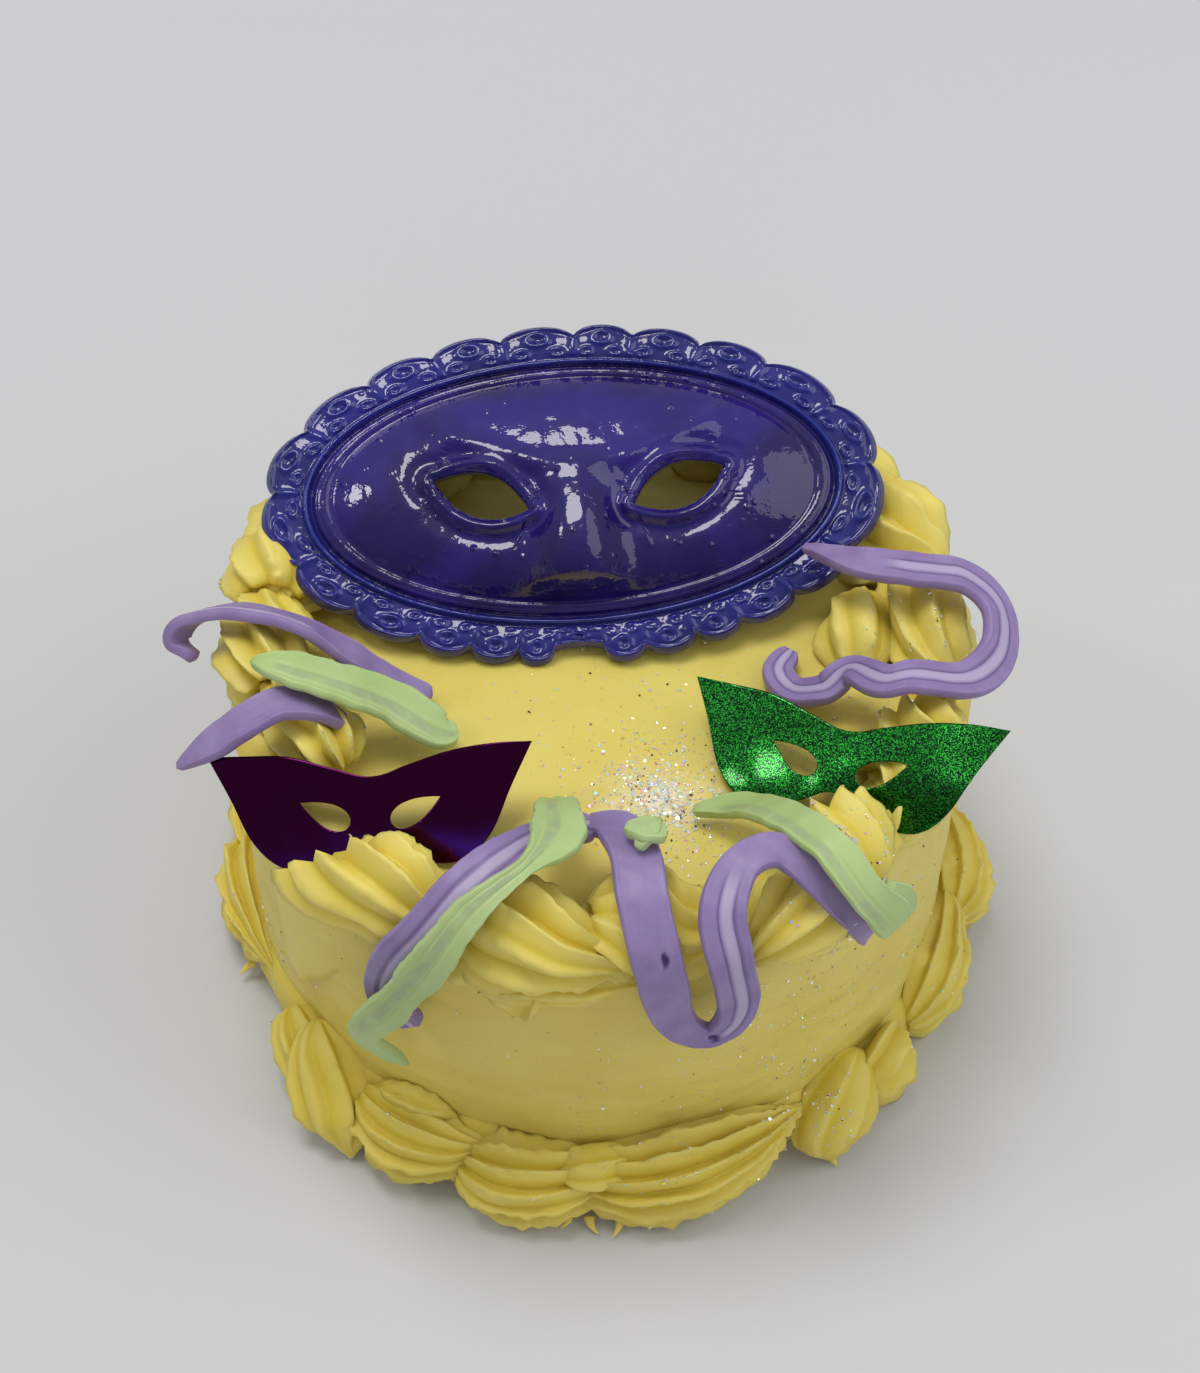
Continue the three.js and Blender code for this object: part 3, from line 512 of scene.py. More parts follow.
def scallop_at(angle):
    """Which scallop an angle falls in, and how far along that scallop from 0 to 1."""
    scallop = np.searchsorted(VALLEYS, angle) % len(VALLEYS)
    start = np.array(VALLEYS)[scallop - 1]
    span = (np.array(VALLEYS)[scallop] - start) % 360
    return scallop, ((angle - start) % 360) / span


def lace_relief(share, depth):
    """Height over one scallop: its lip, the line beside it, and a dished ring over two small ones.

    depth is the share of the way from the outer rim (0) to the scalloped edge (1).
    """
    x = (share - 0.5) * SCALLOP_WIDTH
    y = depth * SCALLOP_DEPTH
    from_middle = np.hypot(x, y - 2.9)
    lip = 0.55 * hump(depth, 0.93, 0.07)
    bars = 0.4 * hump(np.abs(x), SCALLOP_WIDTH / 2, 0.3) * smoothstep(depth, 0.05, 0.2)
    ring = 0.42 * hump(from_middle, 0.85, 0.25)
    ring_low = 0.34 * hump(np.hypot(np.abs(x) - 1.5, y - 1.1), 0.55, 0.2)
    dish = -0.25 * hump(from_middle, 0, 0.5)
    return 0.9 * (lip + bars + ring + ring_low + dish)


def mask_place(points):
    turn, lean = math.radians(MASK_TURN), math.radians(90 - MASK_LEAN)
    x = points[..., 0] * math.cos(turn) - points[..., 1] * math.sin(turn)
    y = points[..., 0] * math.sin(turn) + points[..., 1] * math.cos(turn)
    z = points[..., 2]
    return np.stack([x, y * math.cos(lean) - z * math.sin(lean), y * math.sin(lean) + z * math.cos(lean)],
                    axis=-1) + MASK_CENTRE


def prism(eye, hand, deep):
    """A cutter of almond section through a mask's plane, or of a drop's section where the eye has one."""
    t = np.linspace(-1, 1, 33)
    bow = (1 - t) * np.sqrt(1 + t) * eye["drop"] if "drop" in eye else 1 - t**2
    upper = np.column_stack([t * hand * eye["length"], eye["height"] * bow])
    loop = np.vstack([upper, (upper * [1, -1])[::-1][1:-1]])
    slant = math.radians(eye["slant"]) * hand
    turned = np.column_stack([
        loop[:, 0] * math.cos(slant) - loop[:, 1] * math.sin(slant) + hand * eye["x"] + eye["shift"],
        loop[:, 0] * math.sin(slant) + loop[:, 1] * math.cos(slant) + eye["y"],
    ])
    rings = np.stack([np.column_stack([turned, np.full(len(turned), z)]) for z in (-deep, deep)])
    build = Build()
    build.tube(rings)
    return build.mesh("eye_cutter")


def cut_eyes(piece, eye, deep):
    """Cuts both eye openings through a piece, and returns its points in millimetres."""
    cutters = [prism(eye, hand, deep) for hand in (-1, 1)]
    for cutter in cutters:
        knife = piece.modifiers.new("cut", "BOOLEAN")
        knife.operation = "DIFFERENCE"
        knife.solver = "MANIFOLD"
        knife.object = cutter
    bpy.context.view_layer.update()
    done = bpy.data.meshes.new_from_object(piece.evaluated_get(bpy.context.evaluated_depsgraph_get()))
    piece.modifiers.clear()
    piece.data = done
    for cutter in cutters:
        bpy.data.objects.remove(cutter)
    flat = np.empty(len(done.vertices) * 3)
    done.vertices.foreach_get("co", flat)
    return flat.reshape(-1, 3) / MM


def settle(piece, points, marks):
    """Moves a cut piece's points to their place and sets its marks."""
    attributes = piece.data.attributes
    mark = attributes["mark"] if "mark" in attributes else attributes.new("mark", "FLOAT", "POINT")
    mark.data.foreach_set("value", marks)
    piece.data.vertices.foreach_set("co", (points * MM).reshape(-1))
    piece.data.update()
    return piece


def lace_mask():
    columns = len(VALLEYS) * (SCALLOP_STEPS // COARSE)
    angle = np.radians(np.linspace(-180, 180, columns, endpoint=False) + 0.05)
    cos, sin = np.cos(angle), np.sin(angle)
    scallop, share = scallop_at(np.degrees(np.arctan2(sin * EDGE[1], cos * EDGE[0])))
    rise = np.where(scallop == SHORT_SCALLOP + 1, -0.6, SCALLOP_RISE)
    edge_rise = rise * np.sqrt(np.maximum(0, 1 - (2 * share - 1) ** 2))

    def oval(wide, tall, z):
        return np.column_stack([wide * cos, tall * sin, z * np.ones(columns)])

    rings = []
    for s in np.linspace(0.02, 1, 58 // COARSE):
        wide, tall = s * FACE[0], s * FACE[1]
        z = face_height(wide * cos, tall * sin) + RIM_RISE * smoothstep(s, 0.955, 0.99)
        rings.append(oval(wide, tall, z))
    for s in np.linspace(0, 1, 15)[1:]:
        wide = FACE[0] + (OUTER_RIM[0] - FACE[0]) * s
        tall = FACE[1] + (OUTER_RIM[1] - FACE[1]) * s
        rings.append(oval(wide, tall, RIM_RISE - hump(s, 0.45, 0.16) - 0.9 * smoothstep(s, 0.82, 1.0)))
    for s in np.linspace(0, 1, 30 // COARSE)[1:]:
        wide = OUTER_RIM[0] + (EDGE[0] + edge_rise - OUTER_RIM[0]) * s
        tall = OUTER_RIM[1] + (EDGE[1] + edge_rise - OUTER_RIM[1]) * s
        z = 0.55 + 0.15 * math.sin(math.pi * s) - 0.5 * s**6 + lace_relief(share, s)
        rings.append(oval(wide, tall, z))
    outline = rings[-1][:, :2]
    for turn in np.linspace(0, math.pi, 7)[1:]:
        z = 0.1 - MASK_THICKNESS / 2 * (1 - math.cos(turn))
        out = 0.35 * math.sin(turn)
        rings.append(np.column_stack([outline * (1 + out / 30), np.full(columns, z)]))
    for wide, tall in (OUTER_RIM, FACE):
        rings.append(oval(wide, tall, -MASK_THICKNESS))
    for s in (0.9, 0.76, 0.6, 0.42, 0.22):
        wide, tall = s * FACE[0], s * FACE[1]
        rings.append(oval(wide, tall, face_height(wide * cos, tall * sin) - MASK_THICKNESS))
    build = Build()
    build.tube(np.stack(rings))
    piece = build.mesh("lace_half_mask")
    local = cut_eyes(piece, EYE, 20)
    on_lace = smoothstep(np.hypot(local[:, 0] / OUTER_RIM[0], local[:, 1] / OUTER_RIM[1]), 0.93, 1.0)
    return settle(piece, mask_place(local), on_lace * (0.3 + 0.9 * np.clip(local[:, 2] - 0.6, 0, 1)))


# Foil masks: one die-cut outline as heights of its upper and lower edge along its width
FOIL_UPPER = [(-19, 6), (-14.5, 5.9), (-9.5, 5.6), (-4.5, 4.1), (-1, 3.0), (1.5, 3.0), (4.5, 4.0), (9.5, 5.4),
              (14.5, 6.0), (19, 6)]
FOIL_LOWER = [(-19, 6), (-16.4, 1.0), (-14, -4), (-11, -6.9), (-7.5, -7.4), (-3.6, -6.2), (0, -4.6),
              (3.6, -6.2), (7.5, -7.4), (11, -6.9), (14, -4), (16.4, 1.0), (19, 6)]
FOIL_GREEN = {
    "centre": (27.7, -19.7, 54.4), "across": (0.92, -0.35, 0.16), "rise": (0.24, 0.84, 0.48),
    "bow": -0.6, "curl": 2.2, "bulges": ((-9.3, -5.3, 0.75), (-0.6, -3.4, 0.45)),
}
FOIL_PURPLE = {
    "centre": (-26.3, -25.5, 52.9), "across": (0.99, -0.04, 0.13), "rise": (-0.04, 0.81, 0.59),
    "bow": 0.3, "curl": 0.3, "bulges": (),
}


def level(rows, x):
    """Heights at x on a smooth curve through rows of (x, y)."""
    rows = np.asarray(rows, float)
    fine = through(rows, np.linspace(0, 1, 400))
    return np.interp(x, fine[:, 0], fine[:, 1])


def foil(name, place):
    """A die-cut foil mask, bowed, curled up at its lower edge and pushed out at its bulges."""
    columns, rows = 170 // COARSE, 46 // COARSE
    x = -FOIL_HALF_WIDTH * np.cos(np.linspace(0, math.pi, columns))
    upper, lower = level(FOIL_UPPER, x), level(FOIL_LOWER, x)
    t = np.linspace(0, 1, rows)
    y = lower[:, None] + (upper - lower)[:, None] * t
    sheet = np.stack([x[:, None] * np.ones((1, rows)), y, np.zeros((columns, rows))], axis=-1)
    half = np.array([0, 0, FOIL_THICKNESS / 2])
    build = Build()
    build.tube(np.concatenate([sheet + half, (sheet - half)[:, ::-1]], axis=1))
    piece = build.mesh(name)
    local = cut_eyes(piece, FOIL_EYE, 5)
    curled = (1 - smoothstep(local[:, 1], -8.5, 0.0)) ** 1.3 * smoothstep(local[:, 0], -2, 6)
    local[:, 2] -= place["curl"] * curled
    for x, y, height in place["bulges"]:
        local[:, 2] += height * hump(local[:, 0], x, FOIL_BULGE) * hump(local[:, 1], y, FOIL_BULGE)
    bowed = np.cos(local[:, 0] / FOIL_HALF_WIDTH * 1.9) - 0.4
    local[:, 2] += place["bow"] * bowed + 0.12 * ripple(local, 14, 3)
    across = unit(np.array(place["across"]))
    facing = unit(np.cross(across, place["rise"]))
    # marks: a painted reflection towards the lower right, shown only by the purple foil's paint
    low = 1 - smoothstep(local[:, 1], -6.5, -2.0)
    rightward = 0.25 + 0.75 * smoothstep(local[:, 0], 1.0, 6.0)
    marks = np.clip(low * rightward * (0.6 + 0.5 * ripple(local, 3.5, 8)), 0, 1)
    placed = local @ np.stack([across, np.cross(facing, across), facing]) + place["centre"]
    return settle(piece, placed, marks)


# Piped strips: rows of x, y, z, width, and a roll in degrees where there is one
RIBBON_LEFT_UPPER = [
    (-48, -4.6, 53.6, 2.6, 60), (-50.3, -3, 55.2, 3.8, 60), (-48.4, -1.8, 57.6, 4.4, 50),
    (-42.5, -2.2, 59.4, 4.8, 40), (-35.5, -3.9, 58.9, 4.8, 30), (-29.8, -5.4, 55.6, 4.4, 20),
    (-25, -6.5, 52, 4, 10), (-20, -7.6, 50.2, 2),
]
RIBBON_LEFT_LOWER = [
    (-49, -20.4, 52.6, 0.8), (-44.6, -19.4, 55.8, 4), (-40.2, -17.8, 58.4, 4.6),
    (-36.6, -16.2, 59.2, 4.6), (-32.6, -15.6, 57.6, 4), (-29.5, -15.4, 54.6, 2.4),
]
RIBBON_RIGHT = [
    (24.2, 9, 58.6, 0.8), (31, 4.2, 61, 4.2), (37.4, 3.8, 60.2, 4.8), (43.6, 3.2, 59.4, 5),
    (47.2, -0.5, 57.8, 5.2), (46.8, -6.4, 56.8, 5.2), (42.8, -11.2, 57.6, 5),
    (36.4, -12, 59, 4.8), (33, -11.8, 58, 4.6), (29.6, -7.6, 55, 4.4), (26.4, -8.4, 52.4, 4.2),
    (23, -7, 50.6, 4), (21.4, -3.8, 50.4, 3.8), (23.2, -0.6, 50.4, 3),
]
RIBBON_FRONT_LEFT = [
    (-21.4, -42, 32, 5.4), (-24.4, -41.6, 36.4, 6), (-22.8, -44.6, 47.8, 6),
    (-19.2, -45.4, 54.8, 5.8), (-15.2, -42.6, 58.6, 5.8), (-10.6, -38.6, 59.6, 5.6),
    (-5.6, -34, 58, 5.2), (-0.6, -31.6, 56.4, 4),
]
RIBBON_FRONT_WAVE = [
    (-1.6, -31.2, 56, 2.4), (1.8, -33.2, 58.2, 5.2), (3.8, -38, 59.8, 5.8),
    (4.6, -43.6, 59.2, 5.8), (5.8, -47.6, 55.6, 5.8), (7, -48.8, 49.6, 5.6), (8, -47.6, 42.6, 5),
    (9.9, -47, 38.4, 4.2), (12.6, -46.8, 37.2, 3.8), (14.7, -46.6, 39.4, 4.4),
    (15.5, -46.8, 44, 5), (14.4, -47.8, 52.6, 5.4), (13.3, -44.8, 58.2, 5.2),
    (15.4, -39.8, 60, 4.6), (19.6, -37.8, 60, 4.2), (24.2, -40, 57.4, 4),
    (28.6, -40.4, 51, 3.8), (31, -37, 44, 4.6),
]
LEAF_LEFT = [
    (-40.4, -11.6, 61.2, 0.8), (-35.8, -12.7, 61.4, 5.4), (-30.2, -13.4, 59.6, 6.4),
    (-24.6, -13, 56, 6.4), (-18.9, -14.4, 52.4, 6), (-16.8, -14, 51.4, 3.4),
]
LEAF_FRONT_LEFT = [
    (-5, -27.2, 55, 4), (-4.8, -31, 58.4, 5.6), (-4.8, -36.4, 60.8, 6.2, 10),
    (-8, -41.2, 61.8, 2.4, 30), (-14, -46, 60, 3.8, 20), (-18.8, -48.4, 53, 5, 10),
    (-23.8, -45.4, 40.4, 4.6, 10), (-27.4, -42.4, 30.5, 4.4), (-22.6, -42.8, 24.4, 0.6),
]
LEAF_FRONT_RIGHT = [
    (10.6, -25, 50.4, 1), (16, -26.6, 53.6, 4), (20.6, -32.6, 59.4, 4.8),
    (25.2, -38.6, 61.6, 4.6), (29.2, -42.2, 58, 4.6), (32.4, -41.6, 52.6, 5), (33, -39.8, 48.6, 3),
]
LEAF_TAB = [(31.6, -40.2, 56.6, 1.6), (33.6, -39.6, 54, 2.8), (34.2, -38.8, 50.6, 2.6),
            (34, -38.4, 48.6, 1)]
LEAF_DAB_LOBE = [(4.2, -38.8, 61.4, 1), (5.2, -37.2, 62.2, 2.6), (6.6, -34.6, 61.6, 0.8)]
LEAF_DAB = [(2.6, -36.2, 61.6, 1.4), (5, -36.6, 62.2, 3.4), (7.4, -37, 61.6, 2.2)]


# Each dressed strip as its piece, its node and its parts, with what differs from a plain strip by name
RIBBON_THICKNESS = 1.5
LEAF_THICKNESS = 1.3
NO_STRIPE = (2, 3)
STRIPE_FADE = 0.02
STRIP_LIPS = 0.3
STRIP_SECTION = 34
STRIP_STEPS = 12
RIBBONS = [
    ("ribbon_upper_left", "ribbon_left_upper", [(RIBBON_LEFT_UPPER, {"groove": 0.5, "stripe": (0, 0.6)})]),
    ("ribbon_lower_left", "ribbon_left_lower", [(RIBBON_LEFT_LOWER, {"stripe": NO_STRIPE})]),
    ("ribbon_looped_right", "ribbon_right", [(RIBBON_RIGHT, {"stripe": (0.12, 1)})]),
    ("ribbon_waved_front", "ribbon_front", [
        (RIBBON_FRONT_LEFT, {"groove": 0.05}),
        (RIBBON_FRONT_WAVE, {"stripe": (0.5, 0.74), "groove": 0.1, "cap": 0.15,
                             "pits": [(4.3, -0.3, 0.4, 0.9), (8.1, 0, 0.7, 0.6)]}),
    ]),
]
LEAVES = [
    ("leaf_on_left", "leaf_left", [(LEAF_LEFT, {"groove": 0.35, "stripe": (0.15, 0.93), "wavy": 0.05})]),
    ("leaf_front_twisted", "leaf_front_left", [
        (LEAF_FRONT_LEFT, {"groove": 0.2, "stripe": (0.04, 0.85), "wavy": 0.07, "cap": 0.12, "ragged": 0.9}),
    ]),
    ("leaf_front_curved", "leaf_front_right", [
        (LEAF_FRONT_RIGHT, {"groove": 0.5, "stripe": (0.1, 0.8), "wavy": 0.04}),
        (LEAF_TAB, {"stripe": NO_STRIPE, "wavy": 0.08, "cap": 0.2}),
    ]),
    ("leaf_small_dab", "leaf_dab", [
        (LEAF_DAB, {"stripe": NO_STRIPE, "wavy": 0.12}),
        (LEAF_DAB_LOBE, {"stripe": NO_STRIPE, "wavy": 0.12, "cap": 0.15}),
    ]),
]


def strip(build, rows, thickness, groove=0.0, stripe=(0.0, 1.0), wavy=0.03, cap=0.45, ragged=0.0, pits=(),
          seed=0):
    """A flat piped strip, with pits of (row, offset, half width, half length).

    Its mark is 1 on a ribbon's pale stripe or in a leaf's tinted groove, and -1 in the dark lines: painted
    shade in the grooves and pits.
    """
    t = np.linspace(0, 1, STRIP_STEPS // COARSE * (len(rows) - 1) + 1)
    path = through([(*row, 0)[:5] for row in rows], t)
    centre = path[:, :3]
    length = np.concatenate([[0], np.cumsum(np.linalg.norm(np.diff(centre, axis=0), axis=1))])
    ahead = unit(np.gradient(centre, axis=0))
    level_across = unit(np.cross(ahead, outward(centre)))
    roll = np.radians(path[:, 4])[:, None]
    across = level_across * np.cos(roll) + np.cross(level_across, ahead) * np.sin(roll)
    face = np.cross(across, ahead)
    width = np.maximum(path[:, 3], 0.3)
    rounded = width * cap
    for reach in (length, length[-1] - length):
        width = width * np.sqrt(np.maximum(0.03, 1 - np.maximum(0, 1 - reach / rounded) ** 2))
    v = -np.cos(np.linspace(0, math.pi, STRIP_SECTION))
    shape = 1 - 0.06 * v**2 - 0.85 * np.abs(v) ** 22
    line = hump(np.abs(v - groove), 0.33, 0.07)
    edged = 0.5 * hump(np.abs(v), 0.88, 0.08)
    begin, end = (smoothstep(t, at - STRIPE_FADE, at + STRIPE_FADE) for at in stripe)
    fade = begin * (1 - end)
    lined = 0.15 + 0.85 * fade
    half = np.minimum(thickness, width * 0.8) / 2
    top = half[:, None] * shape * (1 + STRIP_LIPS * (edged - line * lined[:, None]))
    # dark: painted shade along the grooves, and more in the pits
    dark = line
    for place, offset, wide, long in pits:
        far = np.hypot((v - offset) * width[:, None] / 2 / wide,
                       (length - np.interp(place, t * (len(rows) - 1), length))[:, None] / long)
        pit = hump(far, 0, 1, 4)
        top = top - 0.7 * pit
        dark = dark + 2.5 * pit
    under = -half[:, None] * shape
    edge = 1 + wavy * ripple(np.column_stack([length, length * 0, length * 0]), 2.2, seed)[:, None]
    side = v * width[:, None] / 2 * edge
    frill = ragged * np.exp(-length / 1.2)[:, None] * np.cos(7 * v + 0.6)
    middle = centre[:, None] + side[..., None] * across[:, None] - frill[..., None] * ahead[:, None]
    upper = middle + top[..., None] * face[:, None]
    lower = middle + under[..., None] * face[:, None]
    rings = np.concatenate([upper, lower[:, ::-1][:, 1:-1]], axis=1)
    lumps = 0.06 * ripple(rings.reshape(-1, 3), 2.5, seed + 7).reshape(rings.shape[:2])
    rings = rings + lumps[..., None] * face[:, None]
    on = hump(v, groove, 0.27, 6)
    shown = np.clip(on * fade[:, None] - dark * np.maximum(fade[:, None], dark > 1.2) * 0.7, -1, 1)
    build.tube(rings, np.concatenate([shown, np.zeros((len(t), STRIP_SECTION - 2))], axis=1))


def strips(name, thickness, parts):
    build = Build()
    for i, (rows, more) in enumerate(parts):
        strip(build, rows, thickness, seed=i + len(name), **more)
    return build.mesh(name)


# Materials
def surface(paint):
    return paint.node_tree.nodes["Principled BSDF"].inputs


def shader(name, **settings):
    paint = bpy.data.materials.new(name)
    paint.use_nodes = True
    for key, value in settings.items():
        surface(paint)[key.replace("_", " ")].default_value = value
    return paint


def node(paint, kind, **settings):
    made = paint.node_tree.nodes.new(kind)
    for key, value in settings.items():
        if hasattr(made, key):
            setattr(made, key, value)
        else:
            made.inputs[key.replace("_", " ")].default_value = value
    return made


def link(paint, source, target):
    paint.node_tree.links.new(source, target)


def mark_of(paint):
    return node(paint, "ShaderNodeAttribute", attribute_name="mark").outputs["Fac"]


def mixed(paint, share, first, second):
    """A colour mixed from two by a share; either may be 0-255 screen values or an output."""
    mix = node(paint, "ShaderNodeMix", data_type="RGBA")
    link(paint, share, mix.inputs[0])
    for socket, value in ((mix.inputs[6], first), (mix.inputs[7], second)):
        if isinstance(value, tuple):
            socket.default_value = srgb(*value)
        else:
            link(paint, value, socket)
    return mix.outputs[2]


def times(paint, first, second):
    product = node(paint, "ShaderNodeMath", operation="MULTIPLY")
    link(paint, first, product.inputs[0])
    link(paint, second, product.inputs[1])
    return product.outputs[0]


def textured(paint, kind, stretch=None, **settings):
    """The outputs of a texture laid in the object's own metres."""
    place = node(paint, "ShaderNodeTexCoord").outputs["Object"]
    if stretch:
        mapping = node(paint, "ShaderNodeMapping", Scale=stretch)
        link(paint, place, mapping.inputs["Vector"])
        place = mapping.outputs["Vector"]
    texture = node(paint, kind, **settings)
    link(paint, place, texture.inputs["Vector"])
    return texture.outputs


def noise(paint, scale, detail=3.0, stretch=None):
    return textured(paint, "ShaderNodeTexNoise", stretch, Scale=scale, Detail=detail)["Fac"]


def cells(paint, scale):
    return textured(paint, "ShaderNodeTexVoronoi", Scale=scale)


def ranged(paint, value, low, high, to_low=0.0, to_high=1.0):
    """A value spread from one range to another, and held inside it."""
    spread = node(paint, "ShaderNodeMapRange")
    for key, amount in (("From Min", low), ("From Max", high), ("To Min", to_low), ("To Max", to_high)):
        spread.inputs[key].default_value = amount
    link(paint, value, spread.inputs["Value"])
    return spread.outputs["Result"]


def bumped(paint, value, distance, strength, after=None):
    """The normal of a bump of some millimetres, over another bump's if given."""
    bump = node(paint, "ShaderNodeBump", Distance=distance * MM, Strength=strength)
    link(paint, value, bump.inputs["Height"])
    if after is not None:
        link(paint, after, bump.inputs["Normal"])
    return bump.outputs["Normal"]


def surfaced(paint, colour, normal):
    link(paint, colour, surface(paint)["Base Color"])
    link(paint, normal, surface(paint)["Normal"])
    return paint


def icing(name, streaks, pale_first, pale_second, deep):
    paint = shader(name, Roughness=0.5, Subsurface_Weight=0.12, Subsurface_Scale=0.002,
                   Subsurface_Radius=(1.0, 0.7, 0.25))
    pale = mixed(paint, ranged(paint, noise(paint, 90), 0.35, 0.65), pale_first, pale_second)
    # The mark mixes in deep: pale dust on the drum, painted shade in the piping's valleys, mouths, core and
    # sheets
    colour = mixed(paint, mark_of(paint), pale, deep)
    broad = bumped(paint, noise(paint, 160, 4.0, streaks), 0.5, 0.35)
    return surfaced(paint, colour, bumped(paint, noise(paint, 1400), 0.08, 0.5, after=broad))


def ribbon_paint():
    paint = shader("lavender_icing", Roughness=0.48, Subsurface_Weight=0.1, Subsurface_Scale=0.0015,
                   Subsurface_Radius=(0.8, 0.6, 1.0))
    body = mixed(paint, ranged(paint, noise(paint, 260), 0.35, 0.7), (145, 125, 171), (133, 111, 160))
    # Marks below 0 take the dark colour: painted shade in the grooves and pits
    lined = mixed(paint, ranged(paint, mark_of(paint), -1.0, 0.0), (84, 62, 116), body)
    colour = mixed(paint, ranged(paint, mark_of(paint), 0.0, 1.0), lined, (174, 160, 192))
    return surfaced(paint, colour, bumped(paint, noise(paint, 900), 0.1, 0.45))


def leaf_paint():
    paint = shader("green_icing", Roughness=0.46, Subsurface_Weight=0.12, Subsurface_Scale=0.0015)
    pale = mixed(paint, ranged(paint, noise(paint, 120), 0.35, 0.7), (176, 197, 134), (164, 190, 114))
    tint = ranged(paint, noise(paint, 420), 0.3, 0.62, 0.1, 0.55)
    share = times(paint, ranged(paint, mark_of(paint), 0.0, 1.0), tint)
    colour = mixed(paint, share, pale, (140, 148, 126))
    return surfaced(paint, colour, bumped(paint, noise(paint, 800), 0.1, 0.45))


def mask_paint():
    paint = shader("blue_glaze", Roughness=0.4, Coat_Weight=1.0, Coat_Roughness=0.04, Specular_IOR_Level=0.1)
    body = mixed(paint, ranged(paint, noise(paint, 70, 4.0), 0.42, 0.62), (22, 12, 80), (36, 24, 112))
    colour = mixed(paint, mark_of(paint), body, (30, 42, 128))
    waves = bumped(paint, noise(paint, 240, 4.0), 0.9, 0.3)
    pimples = ranged(paint, cells(paint, 420.0)["Distance"], 0.0, 0.22, 1.0, 0.0)
    patches = ranged(paint, noise(paint, 55), 0.44, 0.58)
    glaze = bumped(paint, times(paint, pimples, patches), 0.3, 0.8, after=waves)
    link(paint, glaze, surface(paint)["Coat Normal"])
    return surfaced(paint, colour, glaze)


def foil_green_paint():
    paint = shader("green_glitter_foil", Metallic=1.0, Roughness=0.26, Coat_Weight=0.25, Coat_Roughness=0.12)
    split = node(paint, "ShaderNodeSeparateColor")
    link(paint, cells(paint, 8200.0)["Color"], split.inputs["Color"])
    green = mixed(paint, ranged(paint, split.outputs["Red"], 0.45, 1.0), (2, 46, 16), (56, 180, 62))
    return surfaced(paint, green, bumped(paint, split.outputs["Green"], 0.22, 0.6))


def foil_purple_paint():
    paint = shader("purple_mirror_foil", Metallic=1.0, Roughness=0.08)
    # Painted reflection: the marked lower right takes a violet-blue standing for the ribbon seen in the
    # mirror
    colour = mixed(paint, mark_of(paint), (66, 14, 56), (96, 44, 170))
    return surfaced(paint, colour, bumped(paint, noise(paint, 120, 2.0), 0.12, 0.3))


# Glitter: flecks as (x, y, z, spread, count) round a spot, laid on the nearest icing
GLITTER = [
    (7, -22, 49, 3.4, 800), (4.5, -20.5, 49, 5, 260), (10, -27, 50, 3.5, 160), (-4.5, -16, 49, 8, 60),
    (0, -10, 49, 8, 60), (6, -6, 49, 7, 50), (16, -14, 49, 7, 90), (-31, -19, 56, 3.5, 45),
    (-25, -17, 50, 4, 35), (29, -8, 50, 3.5, 60), (33, -14, 55, 3.5, 50), (40, -1.5, 57, 3.0, 45),
    (36, -3, 55, 4, 35), (28.5, -32.6, 57, 3, 60), (31, -33.5, 55, 3, 40), (24.4, -40, 54, 3, 60),
    (27.7, -35, 42, 5, 60), (23, -38, 39, 6, 90), (30, -33, 23, 7, 80), (25.6, -39.4, 13.5, 2.6, 110),
    (27, -42.4, 9, 3.5, 50), (6.6, -49.8, 8.8, 3.0, 60), (12, -47, 12.3, 5, 60), (-43.3, -21, 12.6, 4, 45),
    (-45, -16.6, 12.7, 4, 30), (42.4, -19.5, 13.6, 4, 45), (46.7, -6, 13.4, 4, 40), (0, -44.5, 28, 10, 60),
    (12, -43, 21, 8, 70), (19, -40, 26, 7, 70), (35.7, -26.6, 35, 7, 50), (-32, -31, 35.5, 8, 25),
]
FLECK_SIZES = [0.08, 0.12, 0.17, 0.24]
FLECK_ODDS = [0.45, 0.32, 0.17, 0.06]
FLECK_TILT = 0.35
FLECK_LIFT = 0.08
FLECK_THICKNESS = 0.03
FLECK_COLOURS = [(0.0, (240, 240, 245)), (0.3, (250, 225, 150)), (0.45, (200, 225, 255)),
                 (0.6, (255, 205, 225)), (0.72, (200, 250, 215)), (0.82, (255, 255, 255)),
                 (0.94, (90, 70, 45))]


def glitter(trees):
    """Six-sided plates scattered over the icing, each with its own mark."""
    draw = np.random.default_rng(4)
    build = Build()
    sides = [[k, 6 + k, 6 + (k + 1) % 6, (k + 1) % 6] for k in range(6)]
    faces = [[0, 1, 2, 3, 4, 5], [11, 10, 9, 8, 7, 6]] + sides
    for x, y, z, spread, count in GLITTER:
        for _ in range(count // COARSE):
            spot = Vector((np.array([x, y, z]) + draw.normal(size=3) * spread) * MM)
            point, normal = min((tree.find_nearest(spot) for tree in trees), key=lambda hit: hit[3])[:2]
            lift = (normal + Vector(draw.normal(size=3) * FLECK_TILT)).normalized()
            along = lift.orthogonal().normalized()
            side = lift.cross(along)
            size = float(draw.choice(FLECK_SIZES, p=FLECK_ODDS))
            turn = draw.uniform(0, math.pi)
            middle = np.array(point) / MM + np.array(normal) * FLECK_LIFT
            middle[2] = max(middle[2], size + 0.1)
            rim = np.array([middle + size * (math.cos(a) * np.array(along) + math.sin(a) * np.array(side))
                            for a in (turn + math.pi / 3 * k for k in range(6))])
            low = rim - np.array(lift) * FLECK_THICKNESS
            build.add(np.vstack([rim, low]), faces, np.full(12, draw.uniform()))
    piece = build.mesh("glitter")
    piece.data.polygons.foreach_set("use_smooth", np.zeros(len(piece.data.polygons), bool))
    return piece


